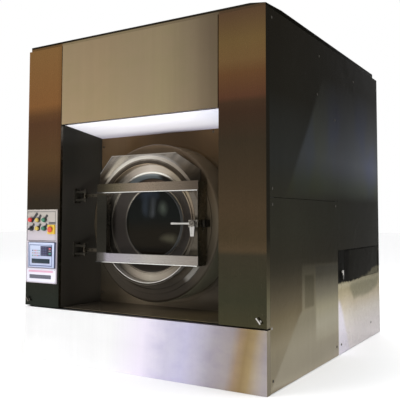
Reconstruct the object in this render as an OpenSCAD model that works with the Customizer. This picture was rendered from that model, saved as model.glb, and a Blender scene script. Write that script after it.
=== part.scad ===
// Side-loading industrial washer: stainless cabinet with a front recess,
// hard-mounted tub, perforated drum on a belt drive, and a hinged glass door.
// Origin: middle of the footprint on the floor. +Z up, front faces -Y.

/* [Cabinet] */
// Overall width of the cabinet
body_w = 1700; // [1640:10:1800]
// Overall depth of the cabinet
body_d = 1880; // [1840:10:2000]
// Overall height including the top cover
body_h = 1953; // [1900:1:2050]
// Width of the left front pillar, which carries the controls
pillar_w = 288; // [286:2:300]
// Width of the right front pillar
right_pillar_w = 277; // [270:1:300]
// Height of the plinth panel
plinth_h = 315; // [280:1:318]
// Height of the recess opening's upper edge at the front
header_z = 1435; // [1410:5:1450]
// Depth of the front recess
recess_d = 365; // [345:5:380]
// Drop of the recess ceiling from front to back
ceiling_drop = 45; // [20:5:70]
// Thickness of the cabinet sheets
sheet_t = 3; // [2:0.5:4]
// Distance of the side seam from the middle of the depth
seam_y = 48; // [20:2:80]
// Height of the seam between the front side panels
seam_z = 965; // [900:5:1050]
// Height of the top cover's rim
cover_h = 28; // [20:1:30]

/* [Tub and drum] */
// Height of the drum's axis above the floor
axis_z = 834; // [826:2:840]
// Outer radius of the tub
tub_r = 604; // [590:1:610]
// Outer radius of the drum
drum_r = 548; // [535:1:550]
// Radius of the tub's front neck
neck_r = 465; // [455:1:470]
// Radius of the loading mouth
mouth_r = 300; // [295:1:304]
// Radius of the drum shaft
shaft_r = 45; // [40:1:50]

/* [Door] */
// Outer radius of the bright door ring
ring_r = 345; // [335:1:348]
// Inner radius of the bright door ring
ring_in_r = 292; // [286:1:294]
// Radius of the door glass
glass_r = 204; // [195:1:210]
// Distance of the hinge axis left of the drum axis
hinge_x = 490; // [485:1:495]
// Depth of the hinge axis behind the front face
hinge_d = 140; // [136:1:146]

/* [Controls] */
// Left to right spacing of the lamps and buttons
button_pitch = 57; // [52:1:60]
// Radius of a button cap
button_r = 13; // [10:0.5:15]

/* [Drive] */
// Radius of the drum pulley
big_pulley_r = 330; // [300:5:340]
// Radius of the motor pulley
small_pulley_r = 66; // [60:1:75]

/* [Hidden] */

F = -body_d/2;              // front plane
W2 = body_w/2;
t = sheet_t;
px = W2 - pillar_w;         // inner edge of the left pillar
pxr = W2 - right_pillar_w;  // inner edge of the right pillar
floor_z = plinth_h + 8;     // recess floor
top_z = body_h - cover_h;   // top of the panels
ret = 36;                   // side return of the front sheets
gap = 2;                    // open joint between panels
hgap = 5;                   // open joint beside the header
tub_face = F + 188;         // front face of the tub neck
hy = F + hinge_d;           // hinge axis, y
tub_back = 255;
drain_z = 165;              // axis of the drain pipe
col0 = -792; row1 = 852; row2 = 800;
es_x = -617; es_z = 794;    // emergency stop
panel_y = F - 8;            // face of the control panel
mx = -470; mz = 300;        // motor axis
steel = [0.50, 0.47, 0.43];
pale = [0.80, 0.80, 0.82];
dark = [0.14, 0.14, 0.15];
$fn = 96;

// box between two corners
module bx(a, b) translate(a) cube([b[0]-a[0], b[1]-a[1], b[2]-a[2]]);
// cylinder along +Y from y0 to y1
module cy(r, y0, y1, x = 0, z = 0) translate([x, y0, z]) rotate([-90, 0, 0]) cylinder(r = r, h = y1-y0);
// ring along +Y
module tube_y(r1, r0, y0, y1, x = 0, z = 0) difference() {
  cy(r1, y0, y1, x, z);
  cy(r0, y0-1, y1+1, x, z);
}
// body of revolution about the drum axis from points [radius, y]
module turned(pts) translate([0, 0, axis_z]) rotate([-90, 0, 0]) rotate_extrude($fn = 128) polygon(pts);
// plate in the XZ plane, from y0 to y1
module plate_xz(y0, y1) translate([0, y1, 0]) rotate([90, 0, 0]) linear_extrude(y1-y0) children();

// ---------------- frame ----------------
module base_frame() color(dark) {
  for (s = [-1, 1]) bx([s > 0 ? 762 : -842, F+50, 0], [s > 0 ? 842 : -762, 930, 120]);
  for (y = [F+50, -320, -40, 130, 850]) bx([-761.7, y, 0], [761.7, y+80, 120]);
  // saddles under the tub, in two halves
  for (s = [-1, 1], y = [-310, 140]) difference() {
    bx([s > 0 ? 90 : -470, y, 120.3], [s > 0 ? 470 : -90, y+60, 500]);
    cy(tub_r+0.4, y-1, y+61, 0, axis_z);
  }
  // foot plates with anchor holes
  for (sx = [-1, 1], y = [F+130.3, 749.7]) difference() {
    bx([sx > 0 ? 662 : -761.7, y, 0], [sx > 0 ? 761.7 : -662, y+100, 14]);
    translate([sx*710, y+50, -1]) cylinder(r = 9, h = 20);
  }
}
module upright_frame() color(dark) {
  for (s = [-1, 1], y = [F+50, seam_y-25, 880])
    bx([s > 0 ? 792 : -842, y, 120.3], [s > 0 ? 842 : -792, y+50, 1869.7]);
  for (s = [-1, 1]) bx([s > 0 ? 792 : -842, F+50, 1870], [s > 0 ? 842 : -792, 930, 1920]);
  for (y = [F+50, 880]) bx([-791.7, y, 1870], [791.7, y+50, 1920]);
}

// ---------------- front ----------------
module pillar(s) {
  h = top_z - floor_z;
  color(steel) union() {
    bx([s > 0 ? pxr : -W2, F, floor_z], [s > 0 ? W2 : -px, F+t, top_z]);
    bx([s > 0 ? W2-t : -W2, F, floor_z], [s > 0 ? W2 : -W2+t, F+ret, top_z]);
    bx([s > 0 ? pxr : -px-t, F, floor_z], [s > 0 ? pxr+t : -px, F+20, header_z]);
  }
}
module left_pillar() difference() {
  pillar(-1);
  // lock hole and the openings behind the control panel
  cy(7.2, F-1, F+t+1, -815, 358);
  bx([-826, F-1, 612], [-604, F+t+1, 680]);
  bx([-830, F-1, 776], [-600, F+t+1, 876]);
}
module right_pillar() difference() {
  pillar(1);
  cy(7.2, F-1, F+t+1, 812, 356);
}
module header_panel() color([0.68, 0.62, 0.55]) union() {
  bx([-px+hgap, F, header_z], [pxr-hgap, F+t, top_z]);
  bx([-px+hgap, F, top_z-t], [pxr-hgap, F+ret, top_z]);
  bx([-px+hgap, F, header_z], [pxr-hgap, F+ret, header_z+t]);
}
module plinth_panel() color(pale) union() {
  bx([-W2, F, 0], [W2, F+t, plinth_h]);
  bx([-W2, F, plinth_h-t], [W2, F+ret, plinth_h]);
  for (s = [-1, 1]) bx([s > 0 ? W2-t : -W2, F, 0], [s > 0 ? W2 : -W2+t, F+ret, plinth_h]);
}
module top_cover() color([0.42, 0.40, 0.38]) difference() {
  bx([-W2+12, F+6, top_z+0.3], [W2-3, body_d/2-12, body_h]);
  bx([-W2+12+t, F+6+t, top_z-1], [W2-3-t, body_d/2-12-t, body_h-t]);
}

// ---------------- recess ----------------
module recess_ceiling() color([0.93, 0.93, 0.95])
  translate([-px+1, 0, 0]) rotate([90, 0, 90]) linear_extrude(px+pxr-2)
    polygon([[F+ret+0.5, header_z], [F+recess_d-0.5, header_z-ceiling_drop],
             [F+recess_d-0.5, header_z-ceiling_drop+t], [F+ret+0.5, header_z+t]]);
module recess_side_walls() color([0.16, 0.15, 0.14])
  for (x = [-px-t, pxr]) translate([x, 0, 0]) rotate([90, 0, 90]) linear_extrude(t)
    polygon([[F+20.4, floor_z], [F+recess_d, floor_z], [F+recess_d, header_z-ceiling_drop],
             [F+ret, header_z-1], [F+20.4, header_z-1]]);
module recess_floor() color([0.30, 0.26, 0.22])
  bx([-px+1, F+ret+2, floor_z-t-0.5], [pxr-1, F+recess_d-0.5, floor_z-0.5]);
module recess_back_plate() color([0.27, 0.22, 0.17]) difference() {
  bx([-px-t, F+recess_d+0.3, floor_z-t], [pxr+t, F+recess_d+t+0.3, header_z-ceiling_drop+t]);
  cy(neck_r+14, F+recess_d-2, F+recess_d+t+2, 0, axis_z);
}

// ---------------- side, rear ----------------
module side_sheet(s, y0, y1, z0, z1) bx([s > 0 ? W2-t : -W2, y0, z0], [s > 0 ? W2 : -W2+t, y1, z1]);
module right_front_upper_panel() color([0.26, 0.26, 0.27]) side_sheet(1, F+ret+gap, seam_y-gap/2, seam_z+gap/2, top_z);
module right_front_lower_panel() color([0.45, 0.44, 0.38]) side_sheet(1, F+ret+gap, seam_y-gap/2, 3, seam_z-gap/2);
hz0 = 452; hz1 = 648; hy0 = 165; hy1 = 905;     // service hatch
module right_rear_upper_panel() color([0.26, 0.26, 0.27]) side_sheet(1, seam_y+gap/2, body_d/2-t-1, 655, top_z);
module right_rear_lower_panel() color([0.85, 0.84, 0.80]) difference() {
  side_sheet(1, seam_y+gap/2, body_d/2-t-1, 3, 653);
  bx([W2-t-1, hy0-gap, hz0-gap], [W2+1, hy1+4, hz1+gap]);
  translate([W2-t-1, 124, 516]) rotate([0, 90, 0]) cylinder(r = 6.2, h = t+2);
}
module left_front_panel() color([0.40, 0.38, 0.35]) side_sheet(-1, F+ret+gap, seam_y-gap/2, 3, top_z);
module left_rear_panel() color([0.40, 0.38, 0.35]) side_sheet(-1, seam_y+gap/2, body_d/2-t-1, 3, top_z);
module rear_panel() color([0.45, 0.43, 0.40]) difference() {
  bx([-W2, body_d/2-t, 3], [W2, body_d/2, top_z]);
  for (i = [0:7], s = [-1, 1]) bx([s*380-130, body_d/2-t-1, 1380+i*40], [s*380+130, body_d/2+1, 1392+i*40]);
  cy(38.6, body_d/2-t-1, body_d/2+1, 300, drain_z);
  for (x = [300, 420, 540]) cy(16.5, body_d/2-t-1, body_d/2+1, x, 1180);
  cy(16.1, body_d/2-t-1, body_d/2+1, -600, 1180);
}
module service_hatch() color([0.22, 0.21, 0.20]) difference() {
  union() {
    bx([W2-t, hy0, hz0], [W2, hy1-4, hz1]);
    bx([W2-t, hy1-5, hz0+30], [W2, hy1, hz1-30]);
    bx([W2-18, hy0+26, hz0+26], [W2-t+0.1, hy0+29, hz1-26]);
    translate([W2-1, hy1, hz0+30]) cylinder(r = 3.4, h = hz1-hz0-60, $fn = 32);
  }
  translate([W2-1, hy1, hz0]) cylinder(r = 1.55, h = hz1-hz0, $fn = 32);
}

// ---------------- tub ----------------
module tub_shell() color([0.62, 0.62, 0.62]) difference() {
  turned([[tub_r-5, -494.5], [tub_r, -494.5], [tub_r, tub_back+8], [shaft_r+17, tub_back+8], [shaft_r+17, tub_back], [tub_r-5, tub_back]]);
  // sump outlet
  translate([0, 60, 0]) cylinder(r = 38.3, h = 400);
}
module tub_front() color([0.35, 0.28, 0.21]) union() {
  turned([[tub_r, -500], [neck_r, -500], [neck_r, tub_face], [mouth_r, tub_face], [mouth_r, -488],
          [mouth_r+5, -488], [mouth_r+5, tub_face+5], [neck_r-5, tub_face+5], [neck_r-5, -495], [tub_r, -495]]);
  // raised collar around the door
  turned([[385, tub_face-6], [415, tub_face-6], [415, tub_face+1], [385, tub_face+1]]);
  // latch keeper
  bx([402, F+131, 812], [408, tub_face+1, 852]);
  bx([389.5, F+131, 812], [408, F+137, 852]);
}
module door_gasket() color([0.10, 0.10, 0.10])
  turned([[304, tub_face-11.5], [338, tub_face-11.5], [342, tub_face-8], [342, tub_face-0.2], [302, tub_face-0.2], [302, tub_face-8]]);
module bearing_housing() color([0.20, 0.30, 0.38]) difference() {
  union() {
    cy(115, tub_back+8.3, 560, 0, axis_z);
    cy(230, tub_back+8.3, tub_back+34, 0, axis_z);
    for (a = [0:45:315]) translate([0, 0, axis_z]) rotate([0, a, 0]) bx([100, tub_back+8.3, -7], [205, tub_back+140, 7]);
  }
  cy(86, tub_back+40, 561, 0, axis_z);
  cy(62, tub_back, 300, 0, axis_z);
}
module shaft_bearings() color([0.75, 0.75, 0.77])
  for (y = [300, 505]) tube_y(85.9, shaft_r+0.05, y, y+48, 0, axis_z);
module shaft_seal() color([0.12, 0.12, 0.12]) tube_y(61.5, shaft_r+0.3, tub_back+2, tub_back+24, 0, axis_z);

// ---------------- drum ----------------
module drum_basket() color([0.72, 0.72, 0.72]) difference() {
  turned([[drum_r-4, -466], [drum_r-4, 188], [shaft_r+0, 188], [shaft_r+0, 194], [drum_r, 194], [drum_r, -470],
          [326, -470], [318, -480], [312, -480], [312, -474], [322, -466]]);
  for (a = [0:60:300]) translate([0, 0, axis_z]) rotate([0, a, 0]) translate([110, 180, 0]) rotate([-90, 0, 0]) cylinder(r = 8, h = 20);
}
module drum_lifters() color([0.68, 0.68, 0.69])
  for (a = [90:120:330]) translate([0, 0, axis_z]) rotate([0, a, 0]) translate([0, -450, 0])
    rotate([-90, 0, 0]) linear_extrude(630) polygon([[539, -55], [539, 55], [470, 16], [462, 0], [470, -16]]);
module drum_shaft() color([0.55, 0.55, 0.57]) difference() {
  union() {
    cy(shaft_r, 186, 735, 0, axis_z);
    cy(150, 194.3, 216, 0, axis_z);
    cy(70, 215, 240, 0, axis_z);
  }
  for (a = [0:60:300]) translate([0, 0, axis_z]) rotate([0, a, 0]) translate([110, 190, 0]) rotate([-90, 0, 0]) cylinder(r = 8, h = 30);
}
belt_y = [634, 660, 686];
module v_pulley(r, bore, x, z, web) translate([x, 0, z]) rotate([-90, 0, 0]) difference() {
  union() {
    rotate_extrude() polygon(concat([[web ? r-40 : bore, 620]], [[r, 620]],
      [for (y = belt_y, p = [[r, y-9], [r-13, y-5], [r-13, y+5], [r, y+9]]) p],
      [[r, 700], [web ? r-40 : bore, 700]]));
    if (web) {
      translate([0, 0, 620]) cylinder(r = bore+35, h = 80);
      for (a = [0:60:300]) rotate([0, 0, a]) bx([bore+20, -18, 640], [r-30, 18, 680]);
    }
  }
  translate([0, 0, 600]) cylinder(r = bore, h = 120);
}
module drum_pulley() color([0.24, 0.24, 0.25]) v_pulley(big_pulley_r, shaft_r+0.02, 0, axis_z, true);
module motor_pulley() color([0.30, 0.30, 0.31]) union() {
  v_pulley(small_pulley_r, 24, mx, mz, false);
  cy(24.01, 600, 706, mx, mz);
  cy(22, 560, 601, mx, mz);
}
// outline of a belt round both pulleys, from the motor axis to the drum axis
bl = sqrt(mx*mx + (axis_z-mz)*(axis_z-mz));
function belt_loop(e) =
  let (R1 = big_pulley_r-12.5+e, R2 = small_pulley_r-12.5+e, b = 90+asin((R1-R2)/bl))
  concat([for (i = [0:40]) let (f = -b+i*b/20) [bl+R1*cos(f), R1*sin(f)]],
         [for (i = [0:16]) let (f = b+i*(180-b)/8) [R2*cos(f), R2*sin(f)]]);
module drive_belts() color([0.07, 0.07, 0.07])
  for (y = belt_y) translate([mx, y+4, mz]) rotate([0, -atan2(axis_z-mz, -mx), 0]) rotate([90, 0, 0])
    linear_extrude(8) difference() { polygon(belt_loop(11)); polygon(belt_loop(0.4)); }
module motor_body() color([0.20, 0.33, 0.45]) difference() {
  union() {
    cy(118, 290, 560, mx, mz);
    cy(126, 270, 300, mx, mz);
    cy(126, 545, 590, mx, mz);
    for (a = [0:20:340]) translate([mx, 0, mz]) rotate([0, a, 0]) bx([110, 305, -2.5], [128, 540, 2.5]);
    bx([mx-105, 320, 150.3], [mx+105, 530, 200]);
    bx([mx-60, 360, mz+100], [mx+60, 480, mz+165]);
  }
  cy(22.3, 500, 600, mx, mz);
}
module motor_bracket() color(dark) bx([mx-150, 300, 120.3], [mx+150, 550, 150]);

// ---------------- services ----------------
module drain_valve() color([0.55, 0.50, 0.40]) union() {
  translate([0, 60, drain_z]) cylinder(r = 38, h = 242-drain_z);
  translate([0, 60, drain_z]) sphere(r = 38);
  cy(38, 60, 368, 0, drain_z);
  bx([-52, 215, drain_z-40], [52, 300, drain_z+52]);
  translate([0, 368, drain_z]) sphere(r = 38);
  translate([0, 368, drain_z]) rotate([0, 90, 0]) cylinder(r = 38, h = 300);
  translate([300, 368, drain_z]) sphere(r = 38);
  cy(36, 368, body_d/2+3, 300, drain_z);
  // hose spigot
  cy(38, body_d/2+2, body_d/2+30, 300, drain_z);
}
module inlet_valves() color([0.62, 0.48, 0.20])
  for (x = [300, 420, 540]) {
    cy(14.5, 820, body_d/2+3, x, 1180);
    cy(16, body_d/2+2, body_d/2+28, x, 1180);
    bx([x-32, 740, 1148], [x+32, 820.1, 1212]);
    translate([x, 780, 1211]) cylinder(r = 22, h = 60);
  }
module electrical_box() color([0.62, 0.63, 0.62]) bx([-789, 660, 1230], [-540, body_d/2-t-0.5, 1800]);
module cable_gland() color([0.10, 0.10, 0.11]) difference() {
  union() {
    cy(15.9, body_d/2-14, body_d/2+1, -600, 1180);
    cy(24, body_d/2+0.3, body_d/2+14, -600, 1180);
    cy(24, body_d/2-t-12, body_d/2-t-0.3, -600, 1180);
  }
  cy(9, 900, body_d/2+20, -600, 1180);
}

// ---------------- controls ----------------
module control_panel_plate() color([0.60, 0.57, 0.52]) difference() {
  bx([-839, panel_y, 465], [-575, F-0.3, 916]);
  for (i = [0:2], z = [row1, row2]) cy(8.3, panel_y-1, F+1, col0+i*button_pitch, z);
  cy(12.3, panel_y-1, F+1, es_x, es_z);
  bx([-785, panel_y-1, 612], [-610, F+1, 680]);
}
module controller_housing() color([0.20, 0.22, 0.28]) difference() {
  bx([-810, panel_y-12.5, 558], [-580.5, panel_y-0.3, 716]);
  bx([-807.5, panel_y-13.5, 560.5], [-583, panel_y-7, 713.5]);
  bx([-785, panel_y-8, 612], [-610, panel_y, 680]);
}
module controller_face() color([0.72, 0.78, 0.90]) union() {
  bx([-807, panel_y-12, 561], [-583.5, panel_y-7.3, 713]);
  bx([-699, panel_y-13.5, 631], [-601, panel_y-11.9, 692]);
  bx([-775, panel_y-13.5, 588], [-622, panel_y-11.9, 614]);
}
module button_bezels() color(dark) {
  for (i = [0:2], z = [row1, row2]) tube_y(16, button_r+0.4, panel_y-9, panel_y-0.2, col0+i*button_pitch, z);
  difference() {
    bx([es_x-30, panel_y-10, es_z-29], [es_x+30, panel_y-0.2, es_z+29]);
    cy(14, panel_y-11, panel_y, es_x, es_z);
  }
}
module pilot_lamps() color([0.8, 0.15, 0.1])
  for (i = [0:2]) union() {
    cy(8, panel_y-1, F+6, col0+i*button_pitch, row1);
    cy(button_r, panel_y-12, panel_y-0.6, col0+i*button_pitch, row1);
    translate([col0+i*button_pitch, panel_y-12, row1]) rotate([90, 0, 0]) cylinder(r1 = button_r, r2 = 8, h = 7);
  }
module push_button(i) union() {
  cy(8, panel_y-1, F+8, col0+i*button_pitch, row2);
  cy(button_r, panel_y-16, panel_y-6, col0+i*button_pitch, row2);
  cy(8, panel_y-7, panel_y, col0+i*button_pitch, row2);
}
module yellow_button() color([0.85, 0.72, 0.15]) push_button(1);
module green_button() color([0.10, 0.40, 0.28]) push_button(2);
module selector_switch() color([0.08, 0.08, 0.08]) union() {
  cy(8, panel_y-1, F+8, col0, row2);
  cy(button_r, panel_y-10, panel_y-0.6, col0, row2);
  translate([col0, 0, row2]) rotate([0, 45, 0]) bx([-4.5, panel_y-26, -12], [4.5, panel_y-9, 12]);
}
module estop_button() color([0.80, 0.12, 0.05]) union() {
  cy(8, panel_y-1, F+8, es_x, es_z);
  cy(12, panel_y-16, panel_y-0.6, es_x, es_z);
  translate([es_x, panel_y-15.5, es_z]) rotate([90, 0, 0]) rotate_extrude() polygon([[0, 0], [18.5, 0], [18.5, 3], [16.5, 6], [12, 8], [6, 9.2], [0, 9.5]]);
}

// ---------------- hinge, locks, screws ----------------
arm_z = [667, 1001];
module hinge_bracket() color([0.30, 0.28, 0.26])
  for (z = arm_z) union() {
    bx([-px+0.3, hy-26, z-45], [-px+8, hy+26, z+45]);
    for (dz = [-32, 18]) difference() {
      union() {
        bx([-px+7, hy-13, z+dz], [-hinge_x, hy+13, z+dz+14]);
        translate([-hinge_x, hy, z+dz]) cylinder(r = 13, h = 14);
      }
      translate([-hinge_x, hy, z+dz-1]) cylinder(r = 7, h = 16);
    }
  }
module hinge_pins() color([0.75, 0.75, 0.75]) union() {
  for (z = arm_z) translate([-hinge_x, hy, z-38]) { cylinder(r = 6.98, h = 74); translate([0, 0, 72]) cylinder(r = 11, h = 5); }
  translate([W2-1, hy1, hz0+8]) cylinder(r = 1.5, h = hz1-hz0-16, $fn = 32);
  for (z = [hz0+8, hz1-28]) {
    translate([W2-1, hy1, z]) cylinder(r = 3.4, h = 20, $fn = 32);
    bx([W2-t, hy1, z], [W2, hy1+3.7, z+20]);
  }
}
module hinge_arms() color([0.42, 0.40, 0.37])
  for (z = arm_z) difference() {
    union() {
      translate([-hinge_x, hy, z-16]) cylinder(r = 12.5, h = 32);
      bx([-hinge_x, F+130.3, z-10], [-318, F+146, z+10]);
    }
    translate([-hinge_x, hy, z-17]) cylinder(r = 7.03, h = 34);
  }
module turn_lock(r, l) union() {
  cy(r, -10, 0);
  cy(r-2.2, -1, 14);
  rotate([0, -40, 0]) bx([-4, -16, -l*0.35], [4, -9, l*0.65]);
  bx([-9, 7, -24], [9, 10, 9]);
}
module right_panel_lock() color([0.80, 0.80, 0.80]) translate([812, F-0.4, 356]) turn_lock(9, 38);
module left_panel_lock() color([0.80, 0.80, 0.80]) translate([-815, F-0.4, 358]) turn_lock(9, 38);
module hatch_lock() color([0.80, 0.80, 0.80]) union() {
  translate([W2+0.4, 124, 516]) rotate([0, 90, 0]) cylinder(r = 11, h = 9);
  translate([W2-12, 124, 516]) rotate([0, 90, 0]) cylinder(r = 6, h = 14);
  bx([W2+4, 124-9, 516-50], [W2+9, 124+9, 516+10]);
}
module screw_x(s, y, z) translate([s*(W2+0.1), y, z]) rotate([0, s*90, 0]) cylinder(r1 = 8, r2 = 6, h = 2.4, $fn = 24);
module panel_screws() color([0.75, 0.75, 0.75]) {
  for (s = [-1, 1], p = [[-239, 1833], [-274, 1595], [17, 1482], [15, 935], [-875, 1880], [-875, 1010], [-875, 930], [-875, 60], [15, 60]])
    screw_x(s, p[0], p[1]);
  for (s = [-1, 1], p = [[385, 1802], [905, 1840], [905, 700], [716, 106], [95, 60]]) screw_x(s, p[0], p[1]);
  for (p = [[-548, 380], [-548, 1335], [311, 1374], [545, 380]]) translate([p[0], F+recess_d+0.1, p[1]]) rotate([90, 0, 0]) cylinder(r1 = 8, r2 = 6, h = 2.4, $fn = 24);
}

// ---------------- door ----------------
pf = F + 125;      // front of the door plate
module door_plate() color([0.62, 0.57, 0.50]) difference() {
  plate_xz(pf, pf+5) polygon([[-262, 1237], [209, 1234], [380, 1129], [380, 603], [-352, 603], [-352, 1135]]);
  cy(ring_r+2, pf-1, pf+6, 0, axis_z);
  cy(7.4, pf-1, pf+6, handle_x, 832);
}
module door_ring() color([0.80, 0.74, 0.66]) union() {
  // flared wall, bright flat ring and the cone down to the glass
  turned([[ring_r+1.9, F+128], [ring_r+1.9, F+132], [ring_r, F+176], [ring_in_r+4, F+176], [glass_r+8, F+210],
          [glass_r+3, F+210], [glass_r+3, F+206], [ring_in_r-1, F+170], [ring_r-4, F+170], [ring_r-2.5, F+128]]);
  translate([0, F+169, axis_z]) rotate([-90, 0, 0]) rotate_extrude($fn = 96) translate([ring_in_r+4, 0]) circle(r = 5, $fn = 24);
}
module door_glass() color([0.10, 0.13, 0.16]) cy(glass_r-4, F+196, F+208, 0, axis_z);
module glass_gasket() color([0.08, 0.08, 0.08]) difference() {
  turned([[glass_r-3.7, F+193], [glass_r+6.5, F+202.3], [glass_r+6.5, F+204], [glass_r+2.6, F+205.7], [glass_r+2.6, F+211], [glass_r-3.7, F+211]]);
  turned([[glass_r-40, F+190], [glass_r-3.9, F+190], [glass_r-3.9, F+214], [glass_r-40, F+214]]);
}
bar_l = -345; bar_r = 386;
handle_x = 362;             // pivot of the door handle
module door_frame() color([0.70, 0.68, 0.66]) union() {
  difference() {
    union() {
      bx([bar_l, F+92, 1012], [bar_r, pf-0.3, 1067]);
      bx([bar_l, F+92, 601], [bar_r, pf-0.3, 655]);
      bx([bar_l, F+92, 603], [-269, pf-0.3, 1060]);
    }
    bx([bar_l+4, F+96, 1016], [bar_r-4, pf+1, 1063]);
    bx([bar_l+4, F+96, 605], [bar_r-4, pf+1, 651]);
    bx([bar_l+4, F+96, 600+5], [-273, pf+1, 1056]);
  }
  // lips along the lower edges
  bx([bar_l, F+82, 1012], [bar_r, F+93, 1016]);
  bx([bar_l, F+82, 601], [bar_r, F+93, 605]);
  // closing plate on the free side, with a slot for the latch cam
  difference() {
    bx([bar_r-3, F+92, 601], [bar_r, F+178, 1067]);
    bx([bar_r-4, F+138, 788], [bar_r+1, F+148, 843]);
  }
}
module latch_block() color([0.55, 0.54, 0.52]) difference() {
  bx([322, F+92, 812], [bar_r-3.2, pf-0.3, 852]);
  cy(7.4, F+91, pf+1, handle_x, 832);
}
module door_handle() color([0.90, 0.90, 0.92]) union() {
  cy(7, F+80, F+150, handle_x, 832);
  cy(19, F+62, F+90, handle_x, 832);
  // horizontal lever
  translate([handle_x, F+74, 832]) rotate([0, -90, 0]) cylinder(r = 7, h = 138);
  translate([handle_x-138, F+74, 832]) sphere(r = 8, $fn = 32);
  // wide vertical grip
  bx([handle_x-19, F+66, 762], [handle_x+17, F+82, 834]);
  // cam behind the door plate
  bx([handle_x-6, F+140, 796], [handle_x+6, F+146, 838]);
}

base_frame();
upright_frame();
left_pillar();
right_pillar();
header_panel();
plinth_panel();
top_cover();
recess_ceiling();
recess_side_walls();
recess_floor();
recess_back_plate();
right_front_upper_panel();
right_front_lower_panel();
right_rear_upper_panel();
right_rear_lower_panel();
left_front_panel();
left_rear_panel();
rear_panel();
tub_shell();
tub_front();
door_gasket();
bearing_housing();
shaft_bearings();
shaft_seal();
drive_belts();
motor_body();
motor_bracket();
drain_valve();
inlet_valves();
electrical_box();
cable_gland();
control_panel_plate();
controller_housing();
controller_face();
button_bezels();
pilot_lamps();
hinge_bracket();
hinge_pins();
panel_screws();
drum_basket();
drum_lifters();
drum_shaft();
drum_pulley();
motor_pulley();
door_plate();
door_ring();
door_glass();
glass_gasket();
door_frame();
hinge_arms();
latch_block();
door_handle();
selector_switch();
yellow_button();
green_button();
estop_button();
right_panel_lock();
left_panel_lock();
hatch_lock();
service_hatch();
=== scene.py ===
# Looks of a side-loading industrial washer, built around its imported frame.
# Metres, +Z up, front faces -Y, origin in the middle of the footprint on the floor.
import bpy
import bmesh
import math
import random
from mathutils import Vector, Matrix


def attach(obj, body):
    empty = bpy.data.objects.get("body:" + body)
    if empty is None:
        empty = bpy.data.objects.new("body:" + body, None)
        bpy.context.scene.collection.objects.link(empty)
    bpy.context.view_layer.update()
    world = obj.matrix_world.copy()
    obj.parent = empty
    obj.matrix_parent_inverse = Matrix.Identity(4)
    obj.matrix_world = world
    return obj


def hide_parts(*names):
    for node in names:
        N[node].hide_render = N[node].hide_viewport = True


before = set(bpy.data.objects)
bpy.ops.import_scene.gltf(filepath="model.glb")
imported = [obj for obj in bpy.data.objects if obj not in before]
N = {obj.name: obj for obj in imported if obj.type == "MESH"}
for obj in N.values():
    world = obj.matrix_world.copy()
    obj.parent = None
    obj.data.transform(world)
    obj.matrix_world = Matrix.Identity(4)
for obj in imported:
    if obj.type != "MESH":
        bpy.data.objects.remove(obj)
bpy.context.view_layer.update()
scene = bpy.context.scene
rnd = random.Random(11)

F = -0.940            # front plane
AZ = 0.834            # height of the drum axis
PY = F - 0.008        # face of the control panel
sin, cos, pi = math.sin, math.cos, math.pi


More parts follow.
